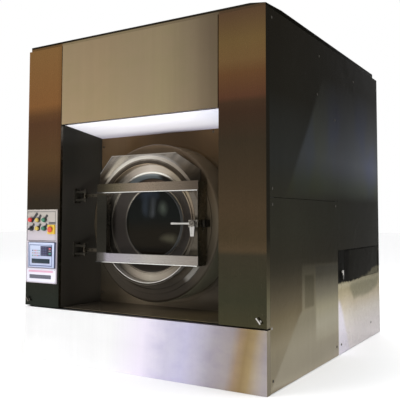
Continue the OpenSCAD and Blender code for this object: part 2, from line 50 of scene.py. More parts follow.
# ------------------------------------------------------------------ materials
class Mat:
    """A material under construction: a Principled shader and short names for the nodes that feed it."""

    def __init__(self, name):
        self.m = bpy.data.materials.new(name)
        self.m.use_nodes = True
        self.t = self.m.node_tree
        self.t.nodes.clear()
        self.out = self.new("ShaderNodeOutputMaterial")
        self.b = self.new("ShaderNodeBsdfPrincipled")
        self.link(self.b.outputs["BSDF"], self.out.inputs["Surface"])
        self.pos = self.new("ShaderNodeTexCoord").outputs["Object"]
        s = self.new("ShaderNodeSeparateXYZ")
        self.link(self.pos, s.inputs[0])
        self.x, self.y, self.z = s.outputs

    def new(self, kind, **settings):
        n = self.t.nodes.new(kind)
        for k, v in settings.items():
            setattr(n, k, v)
        return n

    def link(self, a, b):
        self.t.links.new(a, b)

    def put(self, socket, v):
        if isinstance(v, (int, float)):
            socket.default_value = v
        elif isinstance(v, (tuple, list)):
            socket.default_value = tuple(v) + ((1.0,) if len(v) == 3 and len(socket.default_value) == 4 else ())
        else:
            self.link(v, socket)

    def f(self, op, *a, clamp=False):
        n = self.new("ShaderNodeMath", operation=op, use_clamp=clamp)
        for i, v in enumerate(a):
            self.put(n.inputs[i], v)
        return n.outputs[0]

    def vec(self, sx, sy, sz, shift=(0, 0, 0)):
        n = self.new("ShaderNodeVectorMath", operation="MULTIPLY_ADD")
        self.link(self.pos, n.inputs[0])
        n.inputs[1].default_value = (sx, sy, sz)
        n.inputs[2].default_value = shift
        return n.outputs[0]

    def join(self, x, y, z):
        n = self.new("ShaderNodeCombineXYZ")
        for i, v in enumerate((x, y, z)):
            self.put(n.inputs[i], v)
        return n.outputs[0]

    def noise(self, vec, scale=1.0, detail=2.0, rough=0.5, distortion=0.0):
        n = self.new("ShaderNodeTexNoise")
        self.link(vec, n.inputs["Vector"])
        n.inputs["Scale"].default_value = scale
        n.inputs["Detail"].default_value = detail
        n.inputs["Roughness"].default_value = rough
        n.inputs["Distortion"].default_value = distortion
        return n.outputs[0]

    def ramp(self, fac, stops, mode="LINEAR"):
        n = self.new("ShaderNodeValToRGB")
        r = n.color_ramp
        r.interpolation = mode
        while len(r.elements) < len(stops):
            r.elements.new(0.5)
        for e, (p, c) in zip(r.elements, stops):
            e.position = p
            e.color = tuple(c) + (1.0,) if isinstance(c, (tuple, list)) else (c, c, c, 1.0)
        self.link(fac, n.inputs[0])
        return n.outputs[0]

    def mix(self, fac, a, b, blend="MIX"):
        n = self.new("ShaderNodeMix", data_type="RGBA", blend_type=blend)
        self.put(n.inputs[0], fac)
        self.put(n.inputs[6], a)
        self.put(n.inputs[7], b)
        return n.outputs[2]

    def rng(self, v, a, b, c=0.0, d=1.0, smooth=True):
        n = self.new("ShaderNodeMapRange", interpolation_type="SMOOTHSTEP" if smooth else "LINEAR")
        for i, u in enumerate((v, a, b, c, d)):
            self.put(n.inputs[i], u)
        return n.outputs[0]

    def bump(self, h, dist, strength=1.0, normal=None):
        n = self.new("ShaderNodeBump")
        n.inputs["Strength"].default_value = strength
        n.inputs["Distance"].default_value = dist
        self.link(h, n.inputs["Height"])
        if normal is not None:
            self.link(normal, n.inputs["Normal"])
        return n.outputs[0]

    def area(self, u, v, pts, soft):
        """Soft-edged mask of a convex outline in the (u, v) plane, points anticlockwise."""
        m = None
        for (a, b), (c, d) in zip(pts, pts[1:] + pts[:1]):
            length = math.hypot(c - a, d - b)
            nx, ny = -(d - b) / length, (c - a) / length
            s = self.f("MULTIPLY_ADD", u, nx, self.f("MULTIPLY_ADD", v, ny, -(a * nx + b * ny)))
            e = self.rng(s, -soft, soft)
            m = e if m is None else self.f("MULTIPLY", m, e)
        return m

    def set(self, **k):
        for name, v in k.items():
            self.put(self.b.inputs[name.replace("_", " ")], v)
        return self


def pos01(v, a, b):
    return (v - a) / (b - a)


def steel(name, colour, rough=0.30, grain="z", metallic=1.0, tint=0.10, streak=0.10, smudge=0.10,
          coat=0.0, wave=0.0030, scratch=0.00004, aniso=0.0, edge=0.8, spec=0.5):
    """Sheet steel with a brushed grain. colour is a tuple, or a function that takes the material and gives a colour."""
    g = Mat(name)
    lo, hi = {"z": ((420, 420, 5), (26, 26, 0.7)), "x": ((5, 420, 420), (0.7, 26, 26)),
              "y": ((420, 5, 420), (26, 0.7, 26))}[grain]
    fine = g.noise(g.vec(*lo), 1.0, 3.0, 0.6)
    broad = g.noise(g.vec(*hi), 1.0, 2.0, 0.55)
    cloud = g.noise(g.pos, 3.1, 5.0, 0.62, 0.4)
    spots = g.noise(g.pos, 22.0, 3.0, 0.6)
    c = colour(g) if callable(colour) else None
    v = g.f("ADD", 1.0 - (tint + streak + smudge) / 2, g.f("MULTIPLY", fine, tint))
    v = g.f("MULTIPLY_ADD", broad, streak, v)
    v = g.f("MULTIPLY_ADD", cloud, smudge, v)
    shade = g.join(v, v, v)
    base = g.mix(1.0, c if c is not None else colour, shade, "MULTIPLY")
    g.set(Base_Color=base, Metallic=metallic, Specular_Tint=(edge, edge, edge), Specular_IOR_Level=spec)
    r = g.f("MULTIPLY_ADD", fine, 0.10, rough - 0.09)
    r = g.f("MULTIPLY_ADD", spots, 0.08, r)
    g.set(Roughness=g.f("MAXIMUM", r, 0.04))
    h1 = g.bump(cloud, wave)
    g.set(Normal=g.bump(fine, scratch * 10, 0.35, h1))
    if coat:
        g.set(Coat_Weight=coat, Coat_Roughness=0.16)
    if aniso:
        g.set(Anisotropic=aniso)
    return g.m


def paint(name, colour, rough=0.42, peel=0.00012, metallic=0.0, coat=0.0, wear=0.0, spec=0.5, var=0.08):
    """Powder coat or moulded plastic: fine orange peel, faint unevenness and dust."""
    g = Mat(name)
    c = colour(g) if callable(colour) else colour
    cloud = g.noise(g.pos, 7.0, 5.0, 0.6)
    fine = g.noise(g.pos, 900.0, 2.0, 0.5)
    v = g.f("MULTIPLY_ADD", cloud, 2 * var, 1.0 - var)
    base = g.mix(1.0, c, g.join(v, v, v), "MULTIPLY")
    if wear:
        rub = g.rng(g.noise(g.pos, 34.0, 6.0, 0.7), 0.60, 0.70)
        base = g.mix(g.f("MULTIPLY", rub, wear), base, (0.36, 0.34, 0.31))
    g.set(Base_Color=base, Metallic=metallic)
    g.set(Roughness=g.f("MULTIPLY_ADD", cloud, 0.16, rough - 0.08))
    g.set(Specular_IOR_Level=spec)
    g.set(Normal=g.bump(fine, peel, 0.6))
    if coat:
        g.set(Coat_Weight=coat, Coat_Roughness=0.12)
    return g.m


# ------------------------------------------------------------------ meshes
class Piece:
    """One mesh piece, built up from several closed shapes in frame coordinates."""

    def __init__(self, *mats):
        self.bm = bmesh.new()
        self.mats = list(mats)

    def _paint(self, faces, mat):
        for f in faces:
            f.material_index = mat
            f.smooth = True

    def box(self, a, b, r=0.0, seg=2, mat=0, turn=None):
        """Box from corner a to corner b with edges rounded by r. turn is a matrix applied after."""
        new = bmesh.ops.create_cube(self.bm, size=1.0)["verts"]
        for v in new:
            v.co = Vector([a[i] + (v.co[i] + 0.5) * (b[i] - a[i]) for i in range(3)])
        faces = list({f for v in new for f in v.link_faces})
        if r > 0:
            edges = list({e for v in new for e in v.link_edges})
            made = bmesh.ops.bevel(self.bm, geom=edges, offset=r, segments=seg, profile=0.5, affect="EDGES",
                                   clamp_overlap=True)
            faces = list({f for v in made["verts"] for f in v.link_faces})
        verts = list({v for f in faces for v in f.verts})
        if turn is not None:
            for v in verts:
                v.co = turn @ v.co
        self._paint(faces, mat)
        return self

    def lathe(self, prof, centre, axis="y", seg=48, mat=0, closed=False, turn=None, a0=0.0):
        """Body of revolution. prof holds (radius, distance along the axis); centre is a point on the axis."""
        cx, cy_, cz = centre
        rings = []
        for r, h in prof:
            if r < 1e-7:
                p = [(0.0, 0.0)]
            else:
                p = [(r * cos(a0 + 2 * pi * i / seg), r * sin(a0 + 2 * pi * i / seg)) for i in range(seg)]
            row = []
            for u, w in p:
                if axis == "y":
                    co = Vector((cx + u, cy_ + h, cz + w))
                elif axis == "z":
                    co = Vector((cx + u, cy_ + w, cz + h))
                else:
                    co = Vector((cx + h, cy_ + u, cz + w))
                row.append(self.bm.verts.new(turn @ co if turn is not None else co))
            rings.append(row)
        faces = []
        pairs = list(zip(rings, rings[1:])) + ([(rings[-1], rings[0])] if closed else [])
        for A, B in pairs:
            for i in range(seg):
                j = (i + 1) % seg
                a = [A[i % len(A)], A[j % len(A)], B[j % len(B)], B[i % len(B)]]
                a = [v for k, v in enumerate(a) if v not in a[:k]]
                if len(a) > 2:
                    faces.append(self.bm.faces.new(a))
        self._paint(faces, mat)
        return self

    def prism(self, pts, y0, y1, mat=0, plane="xz"):
        """Straight extrusion of a closed outline. plane xz runs along y, xy along z, yz along x."""
        def at(u, w, d):
            return {"xz": (u, d, w), "xy": (u, w, d), "yz": (d, u, w)}[plane]
        A = [self.bm.verts.new(at(u, w, y0)) for u, w in pts]
        B = [self.bm.verts.new(at(u, w, y1)) for u, w in pts]
        faces = [self.bm.faces.new(A), self.bm.faces.new(list(reversed(B)))]
        n = len(pts)
        for i in range(n):
            faces.append(self.bm.faces.new([A[i], B[i], B[(i + 1) % n], A[(i + 1) % n]]))
        self._paint(faces, mat)
        return self

    def tube(self, path, r, seg=16, mat=0, closed=False):
        """Round bar along a path of points. r is a number or a list, one for each point."""
        path = [Vector(p) for p in path]
        n = len(path)
        rings = []
        up = Vector((0.0137, 0.0071, 1.0)).normalized()
        for i, p in enumerate(path):
            a = path[(i - 1) % n] if closed or i > 0 else p
            b = path[(i + 1) % n] if closed or i < n - 1 else p
            d = (b - a).normalized()
            s = d.cross(up)
            if s.length < 0.1:
                s = d.cross(Vector((1, 0, 0)))
            s.normalize()
            w = d.cross(s).normalized()
            rr = r[i] if isinstance(r, (list, tuple)) else r
            rings.append([self.bm.verts.new(p + (s * cos(2 * pi * k / seg) + w * sin(2 * pi * k / seg)) * rr)
                          for k in range(seg)])
        faces = []
        for A, B in list(zip(rings, rings[1:])) + ([(rings[-1], rings[0])] if closed else []):
            for k in range(seg):
                faces.append(self.bm.faces.new([A[k], A[(k + 1) % seg], B[(k + 1) % seg], B[k]]))
        if not closed:
            faces.append(self.bm.faces.new(rings[0]))
            faces.append(self.bm.faces.new(list(reversed(rings[-1]))))
        self._paint(faces, mat)
        return self

    def done(self, name, body, slot=None, stands_for=(), sharp=32.0):
        bmesh.ops.recalc_face_normals(self.bm, faces=self.bm.faces[:])
        me = bpy.data.meshes.new(name)
        self.bm.to_mesh(me)
        self.bm.free()
        for m in self.mats:
            me.materials.append(m)
        me.set_sharp_from_angle(angle=math.radians(sharp))
        o = bpy.data.objects.new(name, me)
        scene.collection.objects.link(o)
        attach(o, body)
        if stands_for:
            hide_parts(*([stands_for] if isinstance(stands_for, str) else stands_for))
        return o


def fillet(pts, r, n=4, closed=True):
    """Rounds the corners of a 2D outline. r is a number or a list, one for each point."""
    out = []
    m = len(pts)
    for i, p in enumerate(pts):
        rr = r[i] if isinstance(r, (list, tuple)) else r
        if rr <= 0 or (not closed and i in (0, m - 1)):
            out.append(tuple(p))
            continue
        P = Vector(p)
        A = Vector(pts[i - 1]) - P
        B = Vector(pts[(i + 1) % m]) - P
        la, lb = A.length, B.length
        A.normalize()
        B.normalize()
        half = math.acos(max(-1, min(1, A.dot(B)))) / 2
        if half < 0.01 or abs(half - pi / 2) < 0.01:
            out.append(tuple(p))
            continue
        cut = min(rr / math.tan(half), la * 0.49, lb * 0.49)
        rr = cut * math.tan(half)
        c = P + (A + B).normalized() * (rr / sin(half))
        s, e = P + A * cut - c, P + B * cut - c
        a0, a1 = math.atan2(s.y, s.x), math.atan2(e.y, e.x)
        d = (a1 - a0 + pi) % (2 * pi) - pi
        for k in range(n + 1):
            a = a0 + d * k / n
            out.append((c.x + rr * cos(a), c.y + rr * sin(a)))
    return out


def sheet_outline(pts, t, r, n=5):
    """Closed outline of a bent sheet: pts is the open outer line, the sheet lies on its left, t thick, bends of outer radius r."""
    outer = fillet(pts, r, n, closed=False)
    inner_pts = []
    m = len(pts)
    for i, p in enumerate(pts):
        P = Vector(p)
        dirs = []
        if i > 0:
            dirs.append((P - Vector(pts[i - 1])).normalized())
        if i < m - 1:
            dirs.append((Vector(pts[i + 1]) - P).normalized())
        norms = [Vector((-d.y, d.x)) for d in dirs]
        if len(norms) == 1:
            q = P + norms[0] * t
        else:
            b = norms[0] + norms[1]
            q = P + b * (t / (1 + norms[0].dot(norms[1])))
        inner_pts.append((q.x, q.y))
    inner = fillet(inner_pts, max(r - t, 0.0004), n, closed=False)
    return outer + list(reversed(inner))


def arc(cx, cy_, r, a0, a1, n):
    return [(cx + r * cos(a0 + (a1 - a0) * i / n), cy_ + r * sin(a0 + (a1 - a0) * i / n)) for i in range(n + 1)]


def finish_node(node, mat, slot=None, bevel=0.0, angle=40.0):
    """Gives a CAD node its material, and breaks its sharp edges by the size a deburred sheet has."""
    o = N[node]
    mats = mat if isinstance(mat, (list, tuple)) else [mat]
    for i in range(max(1, len(o.material_slots))):
        o.material_slots[i].link = "OBJECT"
        o.material_slots[i].material = mats[min(i, len(mats) - 1)]
    if bevel:
        w = o.modifiers.new("weld", "WELD")
        w.merge_threshold = 0.00002
        b = o.modifiers.new("edge", "BEVEL")
        b.width = bevel
        b.segments = 2
        b.limit_method = "ANGLE"
        b.angle_limit = math.radians(angle)
        b.harden_normals = False
    return o


def along(g, v, stops, wob=0.03, size=1.7):
    """Colour that changes along v, in metres, with a slightly wandering edge."""
    lo, hi = stops[0][0], stops[-1][0]
    n = g.noise(g.pos, size, 3.0, 0.5)
    t = g.rng(g.f("MULTIPLY_ADD", n, wob, g.f("ADD", v, -wob / 2)), lo, hi, smooth=False)
    return g.ramp(t, [(pos01(p, lo, hi), c) for p, c in stops])


def grey(g, v, stops):
    """A factor that changes along v, as a colour to multiply with."""
    lo, hi = stops[0][0], stops[-1][0]
    return g.ramp(g.rng(v, lo, hi, smooth=False), [(pos01(p, lo, hi), c) for p, c in stops])


def times(g, a, b):
    return g.mix(1.0, a, b, "MULTIPLY")


def polar(g):
    """Radius and angle round the drum axis. The angle runs from -1 to 1, 0 to the right and 0.5 at the top."""
    u, w = g.x, g.f("ADD", g.z, -AZ)
    r = g.f("SQRT", g.f("ADD", g.f("MULTIPLY", u, u), g.f("MULTIPLY", w, w)))
    return r, g.f("DIVIDE", g.f("ARCTAN2", w, u), pi)


# cabinet front ------------------------------------------------------------
def c_left_pillar(g):
    # Painted reflections: dark low down, brown to amber higher up, lighter towards the outer edge.
    c = along(g, g.z, [(0.31, (.018, .021, .017)), (0.66, (.024, .023, .016)), (0.97, (.036, .027, .018)),
                       (1.08, (.058, .034, .018)), (1.22, (.100, .055, .024)), (1.46, (.095, .045, .022)),
                       (1.51, (.120, .057, .024)), (1.57, (.215, .098, .034)), (1.93, (.212, .112, .040))])
    c = times(g, c, grey(g, g.x, [(-.85, 1.17), (-.83, 1.03), (-.6, 1.08), (-.562, 0.92)]))
    # The return into the recess gets a flat lighter tone, a painted reflection.
    inner = g.f("MULTIPLY", g.rng(g.x, -.5645, -.5630), g.rng(g.y, F + .0008, F + .0028))
    return g.mix(inner, c, (.095, .086, .070))


def c_right_pillar(g):
    # Painted reflections: dark and greenish low down, with a brighter line near 0.7 m, brown to amber higher up.
    c = along(g, g.z, [(0.31, (.046, .041, .022)), (0.45, (.035, .034, .020)), (0.675, (.041, .035, .022)),
                       (0.700, (.074, .051, .028)), (0.76, (.061, .043, .023)), (0.90, (.067, .045, .025)),
                       (1.25, (.043, .031, .019)), (1.40, (.050, .028, .017)), (1.45, (.060, .033, .019)),
                       (1.48, (.100, .044, .024)), (1.60, (.130, .062, .026)), (1.67, (.157, .090, .036)),
                       (1.77, (.152, .094, .036)), (1.93, (.100, .056, .030))], wob=0.02)
    # The outer side return is painted with a bright reflection at its foot, fading to dark higher up.
    side = g.ramp(g.rng(g.z, 0.31, 1.93, smooth=False),
                  [(0.0, (.17, .15, .105)), (0.08, (.11, .10, .060)), (0.16, (.058, .050, .032)), (0.28, (.022, .02, .015)), (1.0, (.016, .014, .011))])
    c = g.mix(g.rng(g.x, 0.8484, 0.8494), c, side)
    # The return into the recess is painted dark as shade.
    inner = g.f("MULTIPLY", g.rng(g.x, .5755, .5740), g.rng(g.y, F + .0008, F + .0028))
    return g.mix(inner, c, (.030, .026, .020))


def c_header(g):
    # Painted reflections: warm tan on the left, darker towards the right, lighter low down.
    c = along(g, g.x, [(-.57, (.356, .265, .157)), (-.25, (.351, .260, .153)), (-.02, (.322, .246, .149)),
                       (.19, (.313, .243, .146)), (.39, (.242, .186, .117)), (.52, (.162, .121, .078)),
                       (.57, (.152, .112, .070))], wob=0.08, size=1.1)
    c = times(g, c, grey(g, g.z, [(1.43, 1.10), (1.62, 1.0), (1.93, 0.87)]))
    blot = g.noise(g.vec(1.4, 1.4, 2.2, (3.1, 0, 1.7)), 2.6, 3.0, 0.55)
    c = g.mix(g.rng(blot, 0.42, 0.68, 0.0, 0.22), c, times(g, c, (0.86, 0.97, 0.80)))
    # The underside is painted near white, a painted reflection of the bright floor.
    under = g.f("MULTIPLY", g.rng(g.z, 1.4388, 1.4372), g.rng(g.y, F + .0008, F + .0020))
    return g.mix(under, c, (.95, .95, .98))


def c_plinth(g):
    # Painted reflection of the bright floor: white on the left, through lavender to tan on the right, and darker
    # towards the top.
    lean = g.f("MULTIPLY_ADD", g.z, -.20, g.f("ADD", g.x, .050))
    c = along(g, lean, [(-.85, (1.0, 1.0, 1.0)), (-.14, (1.0, 1.0, 1.0)), (.10, (.94, .88, 1.0)),
                       (.27, (.635, .605, .755)), (.38, (.610, .585, .755)), (.47, (.520, .488, .595)),
                       (.55, (.410, .375, .420)), (.655, (.372, .325, .320)), (.700, (.345, .250, .165)),
                       (.74, (.300, .212, .105)), (.775, (.350, .258, .138)), (.815, (.398, .330, .262)), (.860, (.388, .345, .345))], wob=0.05, size=2.4)
    cloud = g.noise(g.vec(4.0, 1.0, 6.0), 1.6, 3.0, 0.6)
    c = g.mix(g.rng(g.x, .02, .22), c, times(g, c, g.ramp(cloud, [(0.34, (.91, .91, .95)), (0.50, (1.0, 1.0, 1.0)), (0.66, (1.06, 1.07, 1.03))])))
    c = times(g, c, grey(g, g.z, [(0.0, 1.0), (0.16, 0.84), (0.315, 0.80)]))
    # The side return is painted darker as shade.
    return g.mix(g.rng(g.x, 0.8484, 0.8494), c, (.20, .17, .12))


def c_cover(g):
    """Painted reflections: the upper fold painted dark, the lower fold painted with the reflected tones of the sheets
    under it, the right end painted near black as shade.
    """
    front = along(g, g.x, [(-.85, (.170, .095, .038)), (-.570, (.150, .085, .035)), (-.562, (.260, .200, .115)), (.00, (.230, .180, .105)),
                           (.40, (.170, .130, .080)), (.568, (.120, .090, .058)), (.576, (.085, .052, .028)), (.85, (.080, .050, .028))], wob=0.01)
    low = g.f("MULTIPLY", g.rng(g.z, 1.9412, 1.9398), g.rng(g.y, F + .012, F + .009))
    c = g.mix(low, (.022, .018, .012), front)
    c = g.mix(g.rng(g.x, .8450, .8462), c, (.0085, .0078, .0062))
    dip = g.rng(g.f("MULTIPLY_ADD", g.x, 11.111, g.f("MULTIPLY_ADD", g.y, -5.5556, -13.6)), 0.0, 1.0, 0.0, .012, smooth=False)
    # Painted highlight on the top face and on the top of the rear strip.
    top = g.f("MAXIMUM", g.rng(g.f("ADD", g.z, dip), 1.9515, 1.9525), g.f("MULTIPLY", g.rng(g.z, 1.9236, 1.9242), g.rng(g.y, .8445, .8455)))
    return g.mix(top, c, (.34, .32, .30))


# recess -------------------------------------------------------------------
def c_wall(g):
    # Painted reflections: dark brown, painted lighter towards the back of the recess.
    c = along(g, g.z, [(0.32, (.022, .019, .015)), (0.5, (.023, .020, .016)), (0.9, (.027, .025, .021)), (1.05, (.028, .025, .021)),
                       (1.16, (.019, .018, .015)), (1.43, (.016, .015, .012))])
    return times(g, c, grey(g, g.y, [(F, 1.15), (F + .10, 1.15), (F + .24, 2.0), (F + .365, 2.9)]))


def c_back(g):
    # Painted reflections and light: brown, warmer high up at the left, a painted pool of light left of the middle low
    # down, painted shade at both sides low down and on the right higher up.
    c = along(g, g.z, [(0.32, (.130, .102, .068)), (0.37, (.068, .053, .035)), (0.45, (.055, .044, .030)), (0.60, (.066, .060, .044)),
                       (0.90, (.072, .066, .048)), (1.10, (.092, .069, .043)), (1.26, (.106, .067, .035)),
                       (1.40, (.116, .075, .042))], wob=0.10)
    c = g.mix(g.f("MULTIPLY", g.rng(g.z, 1.10, 1.26), g.rng(g.x, -.40, -.25)), c, times(g, c, (.97, .90, .76)))
    up = g.rng(g.z, 0.55, 1.15)
    low = grey(g, g.x, [(-.565, .60), (-.42, .72), (-.33, 1.35), (-.20, 1.75), (-.05, 1.60), (.12, 1.00), (.20, .70), (.31, .50), (.575, .50)])
    high = grey(g, g.x, [(-.565, .95), (-.33, 1.05), (-.10, .66), (.10, .60), (.25, .70), (.575, .60)])
    return times(g, c, g.mix(up, low, high))


def c_tub_front(g):
    r, a = polar(g)
    # Painted reflections and shade: darker low down, to the left and in the lower middle.
    c = along(g, g.z, [(0.37, (.024, .018, .012)), (0.60, (.034, .028, .020)), (0.84, (.060, .048, .032)),
                       (1.10, (.080, .056, .034)), (1.30, (.078, .052, .030))], wob=0.06)
    c = times(g, c, grey(g, g.x, [(-.47, .50), (-.36, .62), (-.15, .9), (.47, 1.0)]))
    dim = grey(g, g.x, [(-.47, 1.0), (-.20, .9), (.0, .72), (.12, .55), (.24, .50), (.34, .9), (.47, 1.0)])
    c = g.mix(g.rng(g.z, .56, .48), c, times(g, c, dim))
    # Painted highlight: a bright sector on the collar at the lower right.
    band = g.f("MULTIPLY", g.rng(r, .382, .388), g.rng(r, .418, .412))
    bright = g.f("MULTIPLY", g.f("MULTIPLY", band, g.rng(a, -.310, -.270)), g.rng(a, -.175, -.215))
    c = g.mix(g.f("MULTIPLY", bright, 0.9), c, (.125, .118, .105))
    # The neck wall is painted in flat lighter tones in place of its shade.
    wall = g.f("MULTIPLY", g.rng(r, .452, .464), g.rng(g.y, F + .192, F + .204))
    c = g.mix(wall, c, g.mix(g.rng(g.f("ABSOLUTE", g.f("ADD", a, -.36)), .20, .12), g.mix(g.rng(a, -.02, .04), (.150, .143, .100), (.210, .160, .102)), (.150, .112, .068)))
    # The front of the latch keeper is painted near black.
    keeper = g.f("MULTIPLY", g.rng(g.y, F + .178, F + .176), g.rng(r, .384, .386))
    return g.mix(keeper, c, (.016, .014, .011))


def c_ceiling(g):
    # Painted light: near white, painted darker towards the back and darker and bluer on the right.
    return g.mix(g.rng(g.y, F + .25, F + .365), g.mix(g.rng(g.x, .25, .57), (.93, .92, .98), (.80, .81, .92)), (.60, .58, .68))


# sides --------------------------------------------------------------------
def c_side(g):
    """One picture of soft reflections that runs across all the side sheets."""
    y = g.f("MULTIPLY_ADD", g.noise(g.pos, 1.3, 3.0, 0.5), 0.08, g.f("ADD", g.y, -0.04))
    z = g.f("MULTIPLY_ADD", g.noise(g.pos, 1.9, 2.0, 0.5), 0.05, g.f("ADD", g.z, -0.025))
    c = g.ramp(g.rng(z, 0.0, 1.95, smooth=False),
               [(0.00, (.300, .260, .190)), (0.07, (.275, .240, .170)), (0.11, (.265, .228, .155)), (0.15, (.188, .158, .100)),
                (0.185, (.137, .112, .068)), (0.22, (.098, .081, .052)), (0.26, (.064, .054, .036)), (0.30, (.042, .037, .026)),
                (0.335, (.035, .032, .023)), (0.42, (.035, .034, .025)), (0.52, (.033, .032, .025)), (0.60, (.031, .032, .029)), (0.70, (.026, .026, .023)),
                (0.78, (.0200, .0185, .0145)), (1.0, (.0175, .0155, .0120))])
    # Painted reflections dim towards the back.
    near = grey(g, g.y, [(-.90, .96), (-.62, 1.04), (-.10, .82), (.20, .66), (.60, .50), (.94, .48)])
    c = times(g, c, near)
    # painted reflection: a slate blue band at mid height, brighter towards the back
    tall = grey(g, z, [(.965, 0.0), (1.03, .42), (1.12, .74), (1.22, 1.0), (1.34, .74), (1.46, .46), (1.60, .20), (1.74, 0.0)])
    slope = g.f("MULTIPLY_ADD", g.z, -.75, g.f("ADD", y, .75))
    left = g.rng(slope, -.735, -.675)
    hue = g.rng(g.noise(g.vec(1.0, 2.6, 1.1), 1.6, 2.0, 0.5), .40, .62)
    tone = g.ramp(g.rng(g.y, -.70, .94, smooth=False),
                  [(0.0, (.050, .051, .042)), (0.30, (.061, .066, .064)), (0.47, (.066, .070, .084)), (0.56, (.069, .075, .092)),
                   (0.70, (.088, .096, .118)), (0.90, (.116, .125, .150)), (1.0, (.120, .128, .150))])
    tone = times(g, tone, g.mix(hue, (1.04, 1.03, .95), (.96, .99, 1.18)))
    tone = g.mix(g.rng(g.z, 1.18, 1.03), tone, times(g, tone, (.93, .98, .72)))
    c = g.mix(g.f("MULTIPLY", g.f("MULTIPLY", tall, left), .97), c, tone)
    # angular brighter reflections low down, with a darker one inside
    pale = g.area(g.y, g.z, [(-.515, .34), (.10, .34), (.10, .580), (-.515, .605)], 0.012)
    c = g.mix(g.f("MULTIPLY", pale, .75), c, g.ramp(g.rng(g.z, .34, .60, smooth=False), [(0.0, (.250, .222, .150)), (0.35, (.178, .158, .108)), (0.7, (.098, .088, .060)), (1.0, (.058, .052, .037))]))
    shade = g.area(g.y, g.z, [(-.480, .36), (-.345, .36), (-.345, .535), (-.480, .545)], 0.010)
    c = g.mix(shade, c, times(g, c, (.70, .70, .68)))
    # Painted bright reflection of the floor along the foot at the front.
    lit = g.ramp(g.rng(g.z, 0.0, 0.40, smooth=False),
                 [(0.0, (.470, .420, .330)), (0.14, (.385, .345, .265)), (0.42, (.345, .310, .232)), (0.72, (.238, .214, .152)), (1.0, (.205, .184, .125))])
    low = g.area(g.y, g.z, [(-.90, .02), (.10, -.05), (.10, .350), (-.53, .350)], 0.014)
    c = g.mix(g.f("MULTIPLY", low, 0.92), c, lit)
    # Painted bright reflection in a strip low down at the front.
    lit = g.ramp(g.rng(g.z, 0.15, 0.58, smooth=False),
                 [(0.0, (.370, .335, .250)), (0.22, (.375, .345, .265)), (0.42, (.312, .284, .196)), (0.60, (.185, .168, .120)),
                  (0.74, (.118, .107, .078)), (0.88, (.062, .057, .042)), (1.0, (.050, .046, .036))])
    strip = g.area(g.y, g.z, [(-.32, .15), (.10, .15), (.10, .57), (-.32, .585)], 0.014)
    return g.mix(g.f("MULTIPLY", strip, 0.9), c, lit)


def c_side_plain(g):
    # Painted reflections: bright low down from the floor, dark above, a paler band at mid height, darker again at the
    # top.
    wob = g.noise(g.vec(1.0, 1.0, .6), 1.3, 3.0, 0.5)
    z = g.f("MULTIPLY_ADD", wob, 0.30, g.f("ADD", g.z, -0.15))
    return g.ramp(g.rng(z, 0.0, 1.95, smooth=False),
                  [(0.00, (.38, .35, .30)), (0.15, (.26, .24, .19)), (0.32, (.09, .08, .062)), (0.52, (.055, .053, .045)),
                   (0.66, (.085, .088, .092)), (0.82, (.050, .048, .043)), (1.0, (.040, .036, .030))])


def ragged(g):
    """Height above the wandering edge of a bright reflection low on the rear half of the side."""
    n = g.noise(g.vec(12, 12, 12), 1.0, 4.0, 0.7)
    n2 = g.noise(g.vec(40, 40, 40), 1.0, 3.0, 0.6)
    e = g.f("MULTIPLY_ADD", n, 0.075, g.f("MULTIPLY_ADD", n2, 0.025, g.f("ADD", g.z, -0.050)))
    rise = g.rng(g.y, .55, .86, 0.0, .058, smooth=False)
    return g.f("SUBTRACT", e, g.f("ADD", rise, .446))


def c_side_bright(g):
    """The sheet under the service hatch carries a painted reflection of a bright floor, with a ragged edge to the
    painted dark above.
    """
    n = g.noise(g.vec(7, 7, 9), 1.0, 4.0, 0.6)
    z = g.f("MULTIPLY_ADD", n, .05, g.f("ADD", g.z, -.025))
    lit = g.ramp(g.rng(z, 0.0, 0.46, smooth=False),
                 [(0.0, (.96, .90, .90)), (0.25, (.84, .78, .76)), (0.48, (.76, .70, .62)), (0.66, (.62, .54, .41)), (0.78, (.50, .43, .29)),
                  (0.86, (.42, .36, .23)), (0.93, (.46, .41, .28)), (1.0, (.20, .18, .115))])
    # A darker painted arch and a cooler painted patch inside the reflection.
    arch = g.area(g.y, z, [(.26, .405), (.34, .330), (.62, .315), (.86, .350), (.92, .430), (.30, .430)], .022)
    lit = g.mix(g.f("MULTIPLY", arch, .70), lit, (.230, .220, .145))
    cool = g.area(g.y, z, [(.04, -.05), (.30, -.05), (.16, .20), (.10, .33), (.04, .33)], .03)
    lit = g.mix(g.f("MULTIPLY", cool, .7), lit, (.86, .82, .94))
    lit = times(g, lit, grey(g, g.y, [(.05, .95), (.16, .92), (.40, .80), (.94, .76)]))
    return g.mix(g.rng(ragged(g), -.006, .006), lit, (.0050, .0045, .0030))


def c_hatch(g):
    # Painted reflection: bright below the ragged edge that carries on from the sheet under the hatch, dark above.
    low = g.rng(ragged(g), .010, -.010)
    c = g.mix(low, (.0125, .0115, .0085), (.115, .105, .068))
    # A darker vertical band across the hatch.
    bar = g.f("MULTIPLY", g.rng(g.y, 0.160, 0.168), g.rng(g.y, 0.262, 0.250))
    return g.mix(bar, c, (.0080, .0072, .0058))


